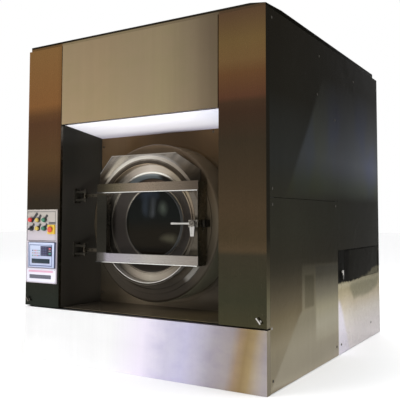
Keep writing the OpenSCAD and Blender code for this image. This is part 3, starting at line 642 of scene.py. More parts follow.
# door ---------------------------------------------------------------------
def c_door_plate(g):
    """Brushed plate with painted arched and slanting reflections above the frame and painted shade below it."""
    r, a = polar(g)
    # Diagonal noise for slanting painted reflection streaks.
    streak = g.noise(g.join(g.f("MULTIPLY", g.f("ADD", g.x, g.z), 2.0), g.f("MULTIPLY", g.f("SUBTRACT", g.z, g.x), 13.0), g.y), 1.0, 2.0, 0.5)
    c = along(g, g.z, [(0.60, (.062, .053, .038)), (1.00, (.064, .054, .038)), (1.075, (.034, .027, .020)), (1.11, (.052, .040, .028)),
                       (1.15, (.110, .086, .062)), (1.19, (.190, .162, .134)), (1.215, (.250, .220, .188)), (1.24, (.235, .205, .175))], wob=0.035)
    c = times(g, c, grey(g, g.x, [(-.36, .40), (-.29, .60), (-.20, 1.0), (-.06, 1.1), (.06, .85), (.20, .62), (.38, .50)]))
    c = times(g, c, g.ramp(streak, [(0.30, .62), (0.50, 1.0), (0.66, 1.45)]))
    # Painted highlight: a bright slanting beam at the upper left.
    beam = g.area(g.x, g.z, [(-.310, 1.105), (-.188, 1.105), (-.140, 1.170), (-.060, 1.210), (-.150, 1.240), (-.205, 1.225), (-.268, 1.165)], .018)
    c = g.mix(g.f("MULTIPLY", beam, .80), c, times(g, g.mix(0.0, (.400, .355, .285), (0, 0, 0)), g.ramp(streak, [(0.30, .55), (0.50, 1.0), (0.66, 1.35)])))
    # Painted reflection arcs beside the rib at the top.
    arcs = g.f("MULTIPLY", g.rng(r, .372, .384), g.rng(r, .408, .396))
    arcs = g.f("MULTIPLY", arcs, g.f("MULTIPLY", g.rng(a, .25, .40), g.rng(a, .70, .56)))
    c = g.mix(g.f("MULTIPLY", arcs, .75), c, (.380, .360, .335))
    # A darker painted reflection at the upper right.
    flat = g.area(g.x, g.z, [(.205, 1.232), (.375, 1.100), (.300, 1.060), (.165, 1.165)], .018)
    c = g.mix(g.f("MULTIPLY", flat, .70), c, (.072, .052, .034))
    # Painted shade in a band round the hole high up, and the hole's inner rim painted near black.
    rim_shade = g.f("MULTIPLY", g.rng(r, .3660, .3625), g.rng(g.z, 1.07, 1.10))
    c = g.mix(g.f("MULTIPLY", rim_shade, .85), c, (.045, .034, .024))
    c = g.mix(g.rng(r, .3486, .3480), c, (.012, .010, .008))
    # Painted reflections on the right part of the plate.
    for pts, amount, tone in (([(.292, .878), (.380, .870), (.380, 1.010), (.280, 1.010)], .85, (.165, .142, .115)),
                              ([(.296, .690), (.380, .690), (.380, .790), (.325, .785)], .75, (.105, .090, .070))):
        c = g.mix(g.f("MULTIPLY", g.area(g.x, g.z, pts, .012), amount), c, tone)
    # Painted highlights along the top edge and along the slanting upper left edge.
    edge = g.rng(g.f("ADD", g.z, g.f("MULTIPLY", g.x, .006)), 1.2295, 1.2330)
    c = g.mix(g.f("MULTIPLY", edge, .8), c, (.36, .33, .29))
    slant = g.rng(g.f("MULTIPLY_ADD", g.x, -1.133, g.z), 1.5245, 1.5300)
    return g.mix(g.f("MULTIPLY", slant, .75), c, (.30, .29, .28))


def c_ring(g):
    """Spun ring: painted highlights at the top and foot, painted shade at both sides, and fine turning rings."""
    r, a = polar(g)
    c = g.ramp(g.rng(a, -1, 1, smooth=False),
               [(0.00, (.030, .026, .021)), (0.13, (.060, .052, .042)), (0.20, (.200, .170, .135)), (0.25, (.255, .225, .180)),
                (0.31, (.200, .170, .135)), (0.38, (.060, .051, .038)), (0.50, (.050, .040, .030)), (0.55, (.150, .115, .080)), (0.60, (.235, .190, .130)),
                (0.67, (.290, .245, .185)), (0.75, (.420, .370, .315)), (0.83, (.250, .215, .175)), (0.88, (.215, .195, .160)), (0.94, (.080, .070, .056)),
                (1.00, (.030, .026, .021))])
    turn = g.noise(g.join(g.f("MULTIPLY", r, 260.0), 0.0, 0.0), 1.0, 2.0, 0.6)
    c = times(g, c, g.ramp(turn, [(0.3, .78), (0.7, 1.22)]))
    # The outer wall is painted lighter at the foot and the top, dark at the sides.
    wall = g.f("MULTIPLY", g.rng(g.y, F + .173, F + .169), g.rng(r, .3405, .3420))
    c = g.mix(wall, c, g.ramp(g.rng(a, -1, 1, smooth=False), [(0.0, (.020, .017, .013)), (0.10, (.045, .039, .030)), (0.17, (.34, .305, .255)), (0.33, (.34, .305, .255)), (0.40, (.045, .039, .030)), (0.5, (.020, .017, .013)), (0.62, (.085, .062, .040)),
                                                              (0.75, (.270, .205, .140)), (0.86, (.120, .092, .062)), (1.0, (.020, .017, .013))]))
    # Painted shade on the inner cone, with a bluish painted reflection near the top and a warm one inside it.
    dark = g.f("MULTIPLY", g.rng(r, .213, .220), g.rng(r, .290, .284))
    c = g.mix(g.f("MULTIPLY", dark, 0.95), c, (.016, .013, .011))
    sky = g.f("MULTIPLY", g.f("MULTIPLY", g.rng(r, .258, .268), g.rng(r, .291, .287)), g.rng(g.f("ABSOLUTE", g.f("ADD", a, -.56)), .17, .10))
    c = g.mix(g.f("MULTIPLY", sky, 0.9), c, (.230, .262, .275))
    warm = g.f("MULTIPLY", g.f("MULTIPLY", g.rng(r, .225, .235), g.rng(r, .262, .254)), g.rng(g.f("ABSOLUTE", g.f("ADD", a, -.48)), .14, .08))
    c = g.mix(g.f("MULTIPLY", warm, 0.7), c, (.120, .080, .055))
    # Painted highlights along the bead at the top and on the outer edge at the foot.
    bead = g.f("MULTIPLY", g.rng(r, .2900, .2912), g.rng(r, .3022, .3010))
    lit = g.rng(g.f("ABSOLUTE", g.f("ADD", a, -.5)), .20, .12)
    c = g.mix(g.f("MULTIPLY", bead, lit), c, (.80, .78, .72))
    foot = g.f("MULTIPLY", g.f("MULTIPLY", g.rng(r, .3405, .3425), g.rng(a, -.80, -.70)), g.rng(a, -.18, -.30))
    return g.mix(foot, c, (.42, .40, .37))


def c_frame(g):
    # Painted reflections: the top bar lighter towards the middle, the bottom bar pale, the left stile painted dark.
    top = along(g, g.x, [(-.35, (.032, .026, .018)), (-.30, (.046, .038, .024)), (-.20, (.130, .108, .070)), (-.10, (.205, .166, .120)), (0.0, (.280, .218, .162)),
                         (.20, (.190, .152, .115)), (.34, (.110, .086, .065)), (.39, (.09, .07, .055))], wob=0.03, size=3.0)
    low = along(g, g.x, [(-.35, (.040, .036, .030)), (-.295, (.120, .112, .105)), (-.265, (.325, .300, .335)), (-.10, (.360, .340, .350)), (0.05, (.395, .370, .338)),
                         (.20, (.310, .285, .255)), (.34, (.265, .236, .205)), (.39, (.24, .215, .19))], wob=0.03, size=3.0)
    stile = grey(g, g.z, [(.60, .030), (.66, .026), (.85, .022), (1.0, .030), (1.06, .034)])
    c = g.mix(g.rng(g.z, .995, 1.012), times(g, stile, (1.0, .92, .72)), top)
    c = g.mix(g.rng(g.z, .662, .652), c, low)
    # Painted highlights on the right end edge and on the stile's inner side; the front lip is painted darker towards
    # the left.
    c = g.mix(g.f("MULTIPLY", g.rng(g.x, .3825, .3832), g.rng(g.y, F + .0935, F + .0950)), c, (.240, .225, .180))
    inner = g.f("MULTIPLY", g.f("MULTIPLY", g.rng(g.x, -.2735, -.2730), g.rng(g.x, -.2680, -.2688)), g.rng(g.y, F + .0935, F + .0955))
    c = g.mix(inner, c, g.mix(g.rng(g.z, .93, .99), (.280, .250, .200), (.750, .700, .600)))
    lip = grey(g, g.x, [(-.35, .05), (-.30, .10), (-.27, .80), (-.20, 1.0), (.39, 1.0)])
    return g.mix(g.rng(g.y, F + .0918, F + .0908), c, times(g, lip, (.86, .85, .82)))


M = {}
M["left_pillar"] = steel("steel_left_pillar", c_left_pillar, rough=.26, edge=.55)
M["right_pillar"] = steel("steel_right_pillar", c_right_pillar, rough=.26, edge=.48)
M["header"] = steel("steel_header", c_header, rough=.34, tint=.12)
M["plinth"] = steel("steel_plinth", c_plinth, rough=.36, smudge=.06, streak=.05)
M["cover"] = steel("steel_cover", c_cover, rough=.40, grain="y", edge=.46)
M["wall"] = steel("steel_recess_wall", c_wall, rough=.30, metallic=.25, spec=.1, wave=.0006, scratch=.000008)
# Recess floor: painted reflections, dark brown, lighter across the middle and darker at both ends.
M["floor"] = steel("steel_recess_floor", lambda g: along(g, g.x, [(-.57, (.066, .055, .042)), (-.30, (.070, .055, .038)), (-.05, (.090, .070, .046)), (.4, (.095, .072, .037)), (.57, (.060, .052, .036))]), rough=.24, grain="x", metallic=.3, spec=.1)
M["back"] = steel("steel_recess_back", c_back, rough=.22, smudge=.22, metallic=.25, spec=.1)
M["tub_front"] = steel("steel_tub_front", c_tub_front, rough=.22, smudge=.22, metallic=.25, spec=.1)
M["ceiling"] = steel("steel_recess_ceiling", c_ceiling, rough=.55, grain="x", metallic=0.0, tint=.04, streak=.03, smudge=.03)
M["side"] = steel("steel_side", c_side, rough=.24, tint=.10, streak=.12, edge=.48)
M["side_plain"] = steel("steel_side_left", c_side_plain, rough=.26, streak=.12)
M["side_bright"] = steel("steel_side_low_rear", c_side_bright, rough=.28, smudge=.12, edge=.48)
M["hatch"] = steel("steel_hatch", c_hatch, rough=.26, edge=.46)
M["rear"] = steel("steel_rear", c_side_plain, rough=.34)
M["door_plate"] = steel("steel_door_plate", c_door_plate, rough=.22, grain="x", smudge=.14)
M["ring"] = steel("steel_door_ring", c_ring, rough=.24, tint=.05, streak=.04, metallic=.5, spec=.2)
M["frame"] = steel("steel_door_frame", c_frame, rough=.26, grain="x", wave=.0010)
M["drum"] = steel("steel_drum", (.50, .49, .47), rough=.24, grain="y", smudge=.12)
M["tub"] = steel("steel_tub", (.38, .37, .36), rough=.36, grain="x", smudge=.14)
M["machined"] = steel("steel_machined", (.50, .49, .48), rough=.26, grain="x")
M["hinge"] = steel("steel_hinge", (.055, .047, .035), rough=.26, grain="x")
M["hinge_block"] = steel("steel_hinge_block", (.020, .018, .014), rough=.34, metallic=.25, spec=.1)
M["screw"] = steel("steel_screw", (.075, .070, .060), rough=.30, grain="x", edge=.5)
M["bolt"] = steel("steel_bolt", (.30, .285, .26), rough=.26, grain="x")
M["latch"] = steel("steel_latch", (.20, .18, .15), rough=.34, metallic=.5)
M["chrome"] = steel("chrome", (.50, .48, .45), rough=.14, tint=.03, streak=.03, smudge=.10, scratch=.00001, wave=.0004)
# Chrome in a darker tone, for the handle hub and the left lock lever.
M["chrome_dark"] = steel("chrome_darker", (.150, .135, .115), rough=.20, tint=.05, streak=.05, smudge=.20, scratch=.00001, wave=.0004)
M["rub_lip"] = paint("rubber_lip", (.020, .020, .019), rough=.50, peel=.00015, var=.25)
M["mark"] = paint("line_dark_grey", (.040, .036, .040), rough=.40, peel=.00004, var=.15)
M["mark_pink"] = paint("line_pink", (.42, .23, .31), rough=.36, peel=.00004, var=.10)
M["plate_grey"] = paint("plate_grey_blank", (.045, .045, .070), rough=.30, peel=.00004, var=.20, coat=.2)
M["pointer"] = paint("pointer_white", (.62, .61, .58), rough=.35, peel=.00004)
M["paint_frame"] = paint("paint_frame", (.030, .030, .033), rough=.55, wear=.5)
M["casting"] = paint("paint_casting", (.055, .105, .150), rough=.46, peel=.0008, wear=.5)
M["iron"] = paint("iron_pulley", (.050, .050, .054), rough=.45, peel=.0006, metallic=.75, wear=.6)
M["rubber"] = paint("rubber_black", (.014, .014, .014), rough=.60, peel=.0002)
M["brass"] = steel("brass", (.62, .43, .17), rough=.30, grain="y")
M["pipe"] = paint("plastic_pipe_grey", (.13, .13, .135), rough=.42, peel=.00008)
M["box"] = paint("paint_box_grey", (.36, .37, .36), rough=.44, wear=.2)
M["black"] = paint("plastic_black", (.012, .012, .013), rough=.30, peel=.00005, coat=.2)
M["case"] = paint("plastic_case", (.050, .056, .100), rough=.38, peel=.00012)
M["steel_plain"] = steel("steel_plain", (.30, .28, .25), rough=.30)


def c_panel(g):
    # Painted light: lighter and more violet towards the bottom.
    c = g.mix(g.rng(g.z, .86, .74), (.255, .232, .210), (.315, .285, .315))
    return c


def c_glass(g):
    haze = g.noise(g.vec(16, 9, 3.2), 1.0, 3.0, 0.6)
    # Painted reflections: a little lighter and warmer low down, with soft bluish, greenish and olive painted reflection
    # patches.
    c = g.mix(g.rng(g.z, .88, .76), (.0036, .0041, .0036), (.0062, .0050, .0032))
    for pts, soft, amount, tone in (([(-.080, .890), (-.048, .875), (-.040, .985), (-.076, .990)], .030, .8, (.016, .020, .026)),
                                    ([(-.020, .870), (.005, .870), (.012, .980), (-.012, .985)], .020, .9, (.036, .039, .042)),
                                    ([(.045, .905), (.080, .885), (.098, .925), (.068, .958), (.048, .945)], .030, .9, (.036, .042, .034)),
                                    ([(-.105, .990), (.035, .985), (.030, 1.020), (-.085, 1.020)], .030, .8, (.016, .021, .030)),
                                    ([(.050, .740), (.095, .722), (.165, .722), (.160, .762), (.070, .762)], .024, .85, (.036, .033, .022))):
        m = g.area(g.x, g.z, pts, soft)
        c = g.mix(g.f("MULTIPLY", g.f("MULTIPLY", m, amount), g.rng(haze, .30, .55, .55, 1.0)), c, tone)
    return c


M["panel"] = paint("paint_panel", c_panel, rough=.40, peel=.0001, var=.04)
g = Mat("glass_door")
haze = g.noise(g.pos, 14.0, 4.0, 0.6)
g.set(Base_Color=c_glass(g), Metallic=0.0, Specular_IOR_Level=0.04, IOR=1.5, Alpha=0.985)
g.set(Roughness=g.f("MULTIPLY_ADD", haze, 0.05, 0.02))
g.set(Normal=g.bump(g.noise(g.pos, 5.0, 2.0, 0.5), 0.0008))
M["glass"] = g.m


def lens(name, colour, glow=0.0):
    g = Mat(name)
    cell = g.noise(g.pos, 320.0, 2.0, 0.5)
    v = g.f("MULTIPLY_ADD", g.noise(g.pos, 60.0, 2.0, 0.5), 0.3, 0.85)
    g.set(Base_Color=g.mix(1.0, colour, g.join(v, v, v), "MULTIPLY"), Roughness=g.f("MULTIPLY_ADD", cell, 0.08, 0.12),
          Specular_IOR_Level=0.5, Coat_Weight=0.5, Coat_Roughness=0.06)
    g.set(Normal=g.bump(cell, 0.0002, 0.5))
    return g.m


M["lens_red"] = lens("lens_red", (.36, .018, .016))
M["lens_yellow"] = lens("lens_yellow", (.34, .25, .05))
M["lens_green"] = lens("lens_green", (.022, .115, .065))
M["cap_yellow"] = paint("plastic_yellow", (.34, .25, .045), rough=.28, peel=.00004, coat=.3)
M["cap_green"] = paint("plastic_green", (.012, .085, .048), rough=.28, peel=.00004, coat=.3)
M["cap_red"] = paint("plastic_red", (.36, .040, .010), rough=.26, peel=.00004, coat=.3)
M["plate_yellow"] = paint("plastic_plate_yellow", (.42, .27, .025), rough=.38, peel=.00006)
M["film"] = paint("film_pale_blue", lambda g: g.mix(g.rng(g.z, .60, .70), (.245, .275, .385), (.325, .365, .480)), rough=.30, peel=.00006, coat=.2)
M["film_line"] = paint("film_blue_line", (.048, .070, .145), rough=.32, peel=.00004, spec=.3)
M["keypad"] = paint("keypad_dark_blue", (.0075, .0078, .026), rough=.34, peel=.00006)
M["lcd"] = paint("lcd_slate", (.0085, .018, .026), rough=.16, peel=.00002, coat=.1, spec=.3)
M["key_pale"] = paint("key_pale", (.20, .17, .17), rough=.36, peel=.00006)
M["key_red"] = paint("key_red", (.34, .070, .085), rough=.32, peel=.00006)
M["key_green"] = paint("key_green", (.035, .16, .12), rough=.32, peel=.00006)
M["key_amber"] = paint("key_amber", (.26, .20, .12), rough=.32, peel=.00006)
M["blank"] = paint("blank_plate_white", (.47, .46, .53), rough=.34, peel=.00005, var=.03)
M["trim"] = paint("trim_grey", (.24, .23, .23), rough=.40)
M["weld"] = steel("steel_weld", (.30, .26, .22), rough=.42)
M["key_dim"] = paint("key_dim_blue", (.034, .036, .085), rough=.36, peel=.00005)


def c_rib(g):
    r, a = polar(g)
    # Painted reflections: bright at the top and upper left, dark at the right and low down.
    c = g.ramp(g.rng(a, -1, 1, smooth=False), [(0.0, (.04, .034, .026)), (0.25, (.10, .088, .070)), (0.5, (.03, .025, .018)), (0.60, (.075, .058, .042)),
                                               (0.67, (.210, .180, .145)), (0.74, (.400, .370, .330)), (0.83, (.430, .400, .350)), (0.90, (.120, .100, .075)), (1.0, (.04, .034, .026))])
    return c


M["rib"] = steel("steel_door_rib", c_rib, rough=.34, grain="x", tint=.05, streak=.08, metallic=.6)
# Hatch lock lever chrome, painted dark on its lower part as shade.
M["lever_low"] = steel("chrome_lever_low", lambda g: along(g, g.z, [(.466, (.030, .027, .022)), (.492, (.050, .045, .036)), (.501, (.48, .46, .43)), (.530, (.50, .48, .45))], wob=0.0), rough=.16, tint=.03, streak=.03)
M["key_grey"] = paint("key_grey", (.075, .078, .095), rough=.36, peel=.00005)


# ------------------------------------------------------------------ CAD nodes that keep their shape
for n, m in (("recess_ceiling", "ceiling"), ("recess_side_walls", "wall"), ("recess_floor", "floor"), ("recess_back_plate", "back"),
             ("right_front_upper_panel", "side"), ("right_front_lower_panel", "side"), ("right_rear_upper_panel", "side"),
             ("right_rear_lower_panel", "side_bright"), ("left_front_panel", "side_plain"), ("left_rear_panel", "side_plain"),
             ("rear_panel", "rear"), ("service_hatch", "hatch"), ("left_pillar", "left_pillar"), ("right_pillar", "right_pillar"),
             ("header_panel", "header"), ("plinth_panel", "plinth")):
    finish_node(n, M[m], bevel=.0007)
# the broad face becomes few large polygons, so that no sliver runs from the lock hole to the far corner
flat = N["right_pillar"].modifiers.new("flat", "DECIMATE")
flat.decimate_type = "DISSOLVE"
flat.angle_limit = math.radians(0.5)
N["right_pillar"].modifiers.move(len(N["right_pillar"].modifiers) - 1, 1)
N["right_pillar"].modifiers["edge"].harden_normals = True
finish_node("base_frame", M["paint_frame"], bevel=.0025)
finish_node("upright_frame", M["paint_frame"], bevel=.0025)
finish_node("motor_bracket", M["paint_frame"], bevel=.002)
finish_node("tub_shell", M["tub"])
finish_node("bearing_housing", M["casting"], bevel=.002)
finish_node("motor_body", M["casting"], bevel=.0008)
finish_node("drum_shaft", M["machined"], bevel=.001)
finish_node("shaft_bearings", M["machined"], bevel=.001)
finish_node("hinge_pins", M["hinge"], bevel=.0006)
finish_node("drum_pulley", M["iron"], bevel=.001)
finish_node("motor_pulley", M["iron"], bevel=.001)
finish_node("shaft_seal", M["rubber"], bevel=.0008)
finish_node("drive_belts", M["rubber"])
finish_node("electrical_box", M["box"], bevel=.002)
finish_node("control_panel_plate", M["panel"], bevel=.0006)
finish_node("controller_housing", M["case"], bevel=.0009)
finish_node("hinge_bracket", M["hinge_block"], bevel=.0008)
finish_node("hinge_arms", M["hinge"], bevel=.0012)
finish_node("door_plate", M["door_plate"], bevel=.0006)
finish_node("door_glass", M["glass"], bevel=.0008)
finish_node("door_frame", M["frame"], bevel=.0006)
finish_node("latch_block", M["latch"], bevel=.0022)


def screw(p, at, axis, s, r=.0078, h=.0023, mat=0, seg=20):
    """Pan head with a round driver recess, standing on a sheet at the point at, along s times the axis."""
    prof = [(0, .45 * h), (.28 * r, .45 * h), (.34 * r, .96 * h), (.50 * r, h), (.72 * r, .88 * h), (.86 * r, .60 * h),
            (.92 * r, .26 * h), (1.0 * r, .20 * h), (1.0 * r, 0), (0, 0)]
    p.lathe([(a, b * s) for a, b in prof], at, axis, seg, mat)


def hex_bolt(p, at, axis, s, r=.0085, h=.0055, mat=0):
    """Hexagon head with a chamfered crown on a round washer."""
    p.lathe([(0, 0), (1.22 * r, 0), (1.22 * r, s * .0012), (1.14 * r, s * .0016), (0, s * .0016)], at, axis, 28, mat)
    p.lathe([(0, s * .0014), (r, s * .0014), (r, s * (h - .0012)), (.86 * r, s * h), (0, s * h)], at, axis, 6, mat, a0=rnd.uniform(0, 1))


def face_plate(p, cx, cz, hw, hh, corner, y0, y1, edge, hole=0.0, mat=0, n=72, turn=0.0):
    """Plate in the XZ plane with rounded corners, a rounded front edge and maybe a round hole. y1 is the front."""
    ct, st = cos(turn), sin(turn)

    def outline(gr):
        w, h, c = hw - gr, hh - gr, max(corner - gr, .0002)
        out = []
        if hole:
            for k in range(n):
                a = 2 * pi * (k + .5) / n
                dx, dz = cos(a), sin(a)
                t = min(w / abs(dx) if abs(dx) > 1e-9 else 9, h / abs(dz) if abs(dz) > 1e-9 else 9)
                x, z = dx * t, dz * t
                qx, qz = abs(x) - (w - c), abs(z) - (h - c)
                if qx > 0 and qz > 0:
                    f = math.atan2(qz, qx)
                    x, z = math.copysign(w - c + c * cos(f), x), math.copysign(h - c + c * sin(f), z)
                out.append((x, z))
        else:
            for sx, sz, q in ((1, 1, 0), (-1, 1, 1), (-1, -1, 2), (1, -1, 3)):
                for k in range(6):
                    f = (q + k / 5) * pi / 2
                    out.append((sx * (w - c) + c * cos(f), sz * (h - c) + c * sin(f)))
        return [(cx + x * ct - z * st, cz + x * st + z * ct) for x, z in out]
    s = 1 if y0 > y1 else -1
    levels = [(outline(0), y0), (outline(0), y1 + s * edge), (outline(edge * .3), y1 + s * edge * .3), (outline(edge), y1)]
    if hole:
        ring = [(cx + hole * cos(2 * pi * (k + .5) / n), cz + hole * sin(2 * pi * (k + .5) / n)) for k in range(n)]
        levels += [(ring, y1), (ring, y0)]
    n = len(levels[0][0])
    rows = [[p.bm.verts.new((x, y, z)) for x, z in o] for o, y in levels]
    faces = []
    for A, B in list(zip(rows, rows[1:])) + ([(rows[-1], rows[0])] if hole else []):
        for k in range(n):
            faces.append(p.bm.faces.new([A[k], A[(k + 1) % n], B[(k + 1) % n], B[k]]))
    if not hole:
        faces.append(p.bm.faces.new(rows[0]))
        faces.append(p.bm.faces.new(list(reversed(rows[-1]))))
    p._paint(faces, mat)
    return p


# ------------------------------------------------------------------ top cover: a folded tray on a wider sheet
def tray(p, a, b, cx, cy, drop, r, seg=3):
    """Box from a to b whose top falls by drop towards the corner at high x and low y."""
    (x0, y0, z0), (x1, y1, z1) = a, b
    l0, l1, l2, l3, A, B, C, D, E, G = [p.bm.verts.new(v) for v in (
        (x0, y0, z0), (x1, y0, z0), (x1, y1, z0), (x0, y1, z0), (x0, y0, z1), (x1 - cx, y0, z1), (x1, y0, z1 - drop),
        (x1, y0 + cy, z1), (x1, y1, z1), (x0, y1, z1))]
    made = [p.bm.faces.new(f) for f in ((l0, l3, l2, l1), (A, B, D, E, G), (B, C, D), (l0, l1, C, B, A), (l1, l2, E, D, C),
                                        (l2, l3, G, E), (l3, l0, A, G))]
    edges = [e for e in {e for f in made for e in f.edges} if set(e.verts) != {B, D}]
    cut = bmesh.ops.bevel(p.bm, geom=edges, offset=r, segments=seg, profile=0.5, affect="EDGES", clamp_overlap=True)
    p._paint(list({f for v in cut["verts"] for f in v.link_faces} | {f for f in made if f.is_valid}), 0)


p = Piece(M["cover"])
tray(p, (-.8380, -.9340, 1.9384), (.8470, .8440, 1.9530), .090, .180, .0120, .0012)
p.box((-.8380, -.9340, 1.9253), (.8470, .8440, 1.9394), .0014, 3)
p.box((-.8380, .8300, 1.9205), (.8470, .9280, 1.9250), .0010, 2)
p.done("top_cover_folded", "cabinet", "cover_steel", "top_cover", sharp=35)

# ------------------------------------------------------------------ screws
p = Piece(M["screw"], M["bolt"])
screw(p, (.8500, -.8880, .3180), "x", 1, r=.0070, mat=1)
for s in (-1, 1):
    for y, z in ((-.239, 1.833), (-.274, 1.595), (.017, 1.482), (.015, .935), (-.875, 1.880), (-.875, 1.010), (-.875, .930),
                 (-.875, .060), (.015, .060), (.385, 1.802), (.905, 1.840), (.905, .700), (.716, .106), (.095, .060)):
        screw(p, (s * .8500, y, z), "x", s, r=.0074)
for x, z in ((-.548, .380), (-.548, 1.335), (.311, 1.374), (.545, .380)):
    screw(p, (x, F + .3653, z), "y", -1, r=.0074)
p.done("sheet_screws", "cabinet", "machined_steel", "panel_screws")

p = Piece(M["bolt"])
for z in (.06, .36, .66, .96, 1.26, 1.56, 1.86):
    for x in (-.822, .822):
        screw(p, (x, .9400, z), "y", 1)
for x in (-.55, -.20, .20, .55):
    for z in (.06, 1.895):
        screw(p, (x, .9400, z), "y", 1)
p.done("rear_screws", "cabinet", "machined_steel")

# ------------------------------------------------------------------ tub front, pressed from one sheet
p = Piece(M["tub_front"], M["back"])
TF = F + .188
outer = fillet([(.604, -.500), (.465, -.500), (.465, TF), (.300, TF), (.300, -.488), (.305, -.488), (.305, TF + .005),
                (.460, TF + .005), (.460, -.495), (.604, -.495)], [.001, .006, .016, .008, .001, .001, .004, .011, .010, .001], 6)
p.lathe(outer, (0, 0, AZ), "y", 160, closed=True)
p.lathe(fillet([(.385, TF - .006), (.415, TF - .006), (.415, TF + .001), (.385, TF + .001)], [.0025, .0025, .0005, .0005], 4), (0, 0, AZ), "y", 160, closed=True)
p.lathe(fillet([(.4645, F + .3630), (.4900, F + .3630), (.4900, F + .3652), (.4645, F + .3652)], [.0008, .0008, .0001, .0001], 3), (0, 0, AZ), "y", 160, 1, closed=True)
p.box((.402, F + .131, .812), (.408, TF + .001, .852), .0012)
p.box((.3895, F + .131, .812), (.408, F + .137, .852), .0012)
p.done("tub_front_pressed", "cabinet", "tub_steel", "tub_front", sharp=30)

# rubber seals ---------------------------------------------------------------
p = Piece(M["rub_lip"])
p.lathe(fillet([(.304, TF - .0115), (.314, TF - .0115), (.317, TF - .0085), (.324, TF - .0085), (.327, TF - .0115), (.338, TF - .0115),
                (.342, TF - .008), (.342, TF - .0002), (.302, TF - .0002), (.302, TF - .008)],
               [.0015, .0015, .001, .001, .0015, .002, .002, .0005, .0005, .002], 3), (0, 0, AZ), "y", 128, closed=True)
p.done("door_seal_ring", "cabinet", "rubber", "door_gasket", sharp=45)
p = Piece(M["rub_lip"])
p.lathe(fillet([(.2003, F + .193), (.2040, F + .1952), (.2060, F + .1990), (.2105, F + .2023), (.2105, F + .2040), (.2066, F + .2057), (.2066, F + .2110),
                (.2003, F + .2110), (.2001, F + .2100), (.2001, F + .1940)], [.0006, .001, .002, .001, .0005, .0005, .0008, .0005, .0002, .0002], 3),
        (0, 0, AZ), "y", 128, closed=True)
p.done("glass_seal_ring", "door", "rubber", "glass_gasket", sharp=45)

# ------------------------------------------------------------------ door
p = Piece(M["ring"])
p.lathe(fillet([(.3469, F + .128), (.3469, F + .132), (.3450, F + .176), (.2960, F + .176), (.2120, F + .2100), (.2070, F + .2100),
                (.2070, F + .2060), (.2910, F + .1700), (.3410, F + .1700), (.3425, F + .128)],
               [.0012, .004, .005, .004, .0008, .0008, .0008, .004, .005, .0012], 5), (0, 0, AZ), "y", 160, closed=True)
p.lathe([(.296 + .005 * cos(2 * pi * k / 20), F + .169 + .005 * sin(2 * pi * k / 20)) for k in range(20)], (0, 0, AZ), "y", 160, closed=True)
p.done("door_ring_spun", "door", "door_ring_steel", "door_ring", sharp=30)

p = Piece(M["rib"])
a0, a1 = math.radians(16), math.radians(158)
rows = []
for k in range(91):
    f, fade = a0 + (a1 - a0) * k / 90, min(1, .15 + min(k, 90 - k) / 8)
    row = []
    for j in range(16):
        t = 2 * pi * j / 16
        r = .3830 + .0105 * fade * cos(t)
        row.append(p.bm.verts.new((r * cos(f), F + .1262 + .0032 * fade * sin(t), AZ + r * sin(f))))
    rows.append(row)
fs = [p.bm.faces.new([A[j], A[(j + 1) % 16], B[(j + 1) % 16], B[j]]) for A, B in zip(rows, rows[1:]) for j in range(16)]
fs += [p.bm.faces.new(rows[0]), p.bm.faces.new(list(reversed(rows[-1])))]
p._paint(fs, 0)
a0, a1 = math.radians(200), math.radians(344)
p.tube([(.3560 * cos(a0 + (a1 - a0) * k / 90), F + .1251, AZ + .3560 * sin(a0 + (a1 - a0) * k / 90)) for k in range(10, 81)], .0012, 8)
p.done("door_plate_rib", "door", "door_steel", sharp=60)

p = Piece(M["bolt"], M["hinge"])
for x, z in ((.3285, .8185), (.3285, .8455), (.3760, .8185), (.3760, .8455)):
    screw(p, (x, F + .0921, z), "y", -1, r=.0038, h=.0017, seg=16)
for z in (.667, 1.001):
    hex_bolt(p, (-.336, F + .1460, z), "y", 1, r=.0070)
    hex_bolt(p, (-.420, F + .1460, z), "y", 1, r=.0058, h=.0045, mat=1)
    hex_bolt(p, (-.420, F + .1303, z), "y", -1, r=.0058, h=.0045, mat=1)
p.done("door_fasteners", "door", "machined_steel")

p = Piece(M["hinge"])
for z in (.667, 1.001):
    for dy in (-.0185, .0185):
        for dz in (-.0385, .0385):
            hex_bolt(p, (-.5540, F + .140 + dy, z + dz), "x", 1, r=.0052, h=.0042)
p.done("hinge_bolts", "cabinet", "machined_steel")

# handle: hub, tapered lever, flat grip and the cam behind the plate
HX, HZ = .362, .832
p = Piece(M["chrome"], M["chrome_dark"], M["bolt"])
hub = [(0, .0660), (.0033, .0660), (.0037, .0632), (.0068, .0626), (.0078, .0634), (.0080, .0650), (.0150, .0654), (.0178, .0664), (.0190, .0684),
       (.0190, .0780), (.0172, .0796), (.0172, .0816), (.0190, .0832), (.0190, .0880), (.0180, .0898), (.0070, .0898), (.0070, .1490), (.0060, .1500), (0, .1500)]
p.lathe([(r, F + h) for r, h in hub], (HX, 0, HZ), "y", 48, 1)
xs = (.352, .345, .330, .310, .285, .262, .246, .236, .229, .223, .219, .2168)
rs = (.0086, .0080, .0070, .0064, .0062, .0064, .0068, .0074, .0080, .0076, .0060, .0030)
p.tube([(x, F + .0740, HZ) for x in xs], list(rs), 24, 0)
rows = []
for z, w, d in ((.8338, .0090, .0050), (.8318, .0125, .0066), (.8270, .0160, .0076), (.8180, .0176, .0080), (.8070, .0172, .0078), (.7950, .0156, .0072),
                (.7840, .0142, .0066), (.7740, .0132, .0062), (.7670, .0128, .0060), (.7638, .0120, .0054), (.7624, .0104, .0040)):
    row = []
    for k in range(64):
        a = 2 * pi * k / 64
        ca, sa = cos(a), sin(a)
        e = .72
        u = w * math.copysign(abs(ca) ** e, ca)
        dip = .0022 * math.exp(-(u / .0026) ** 2) if sa < 0 and z < .8200 else 0
        row.append(p.bm.verts.new((.3610 + u, F + .0740 + d * math.copysign(abs(sa) ** e, sa) + dip, z)))
    rows.append(row)
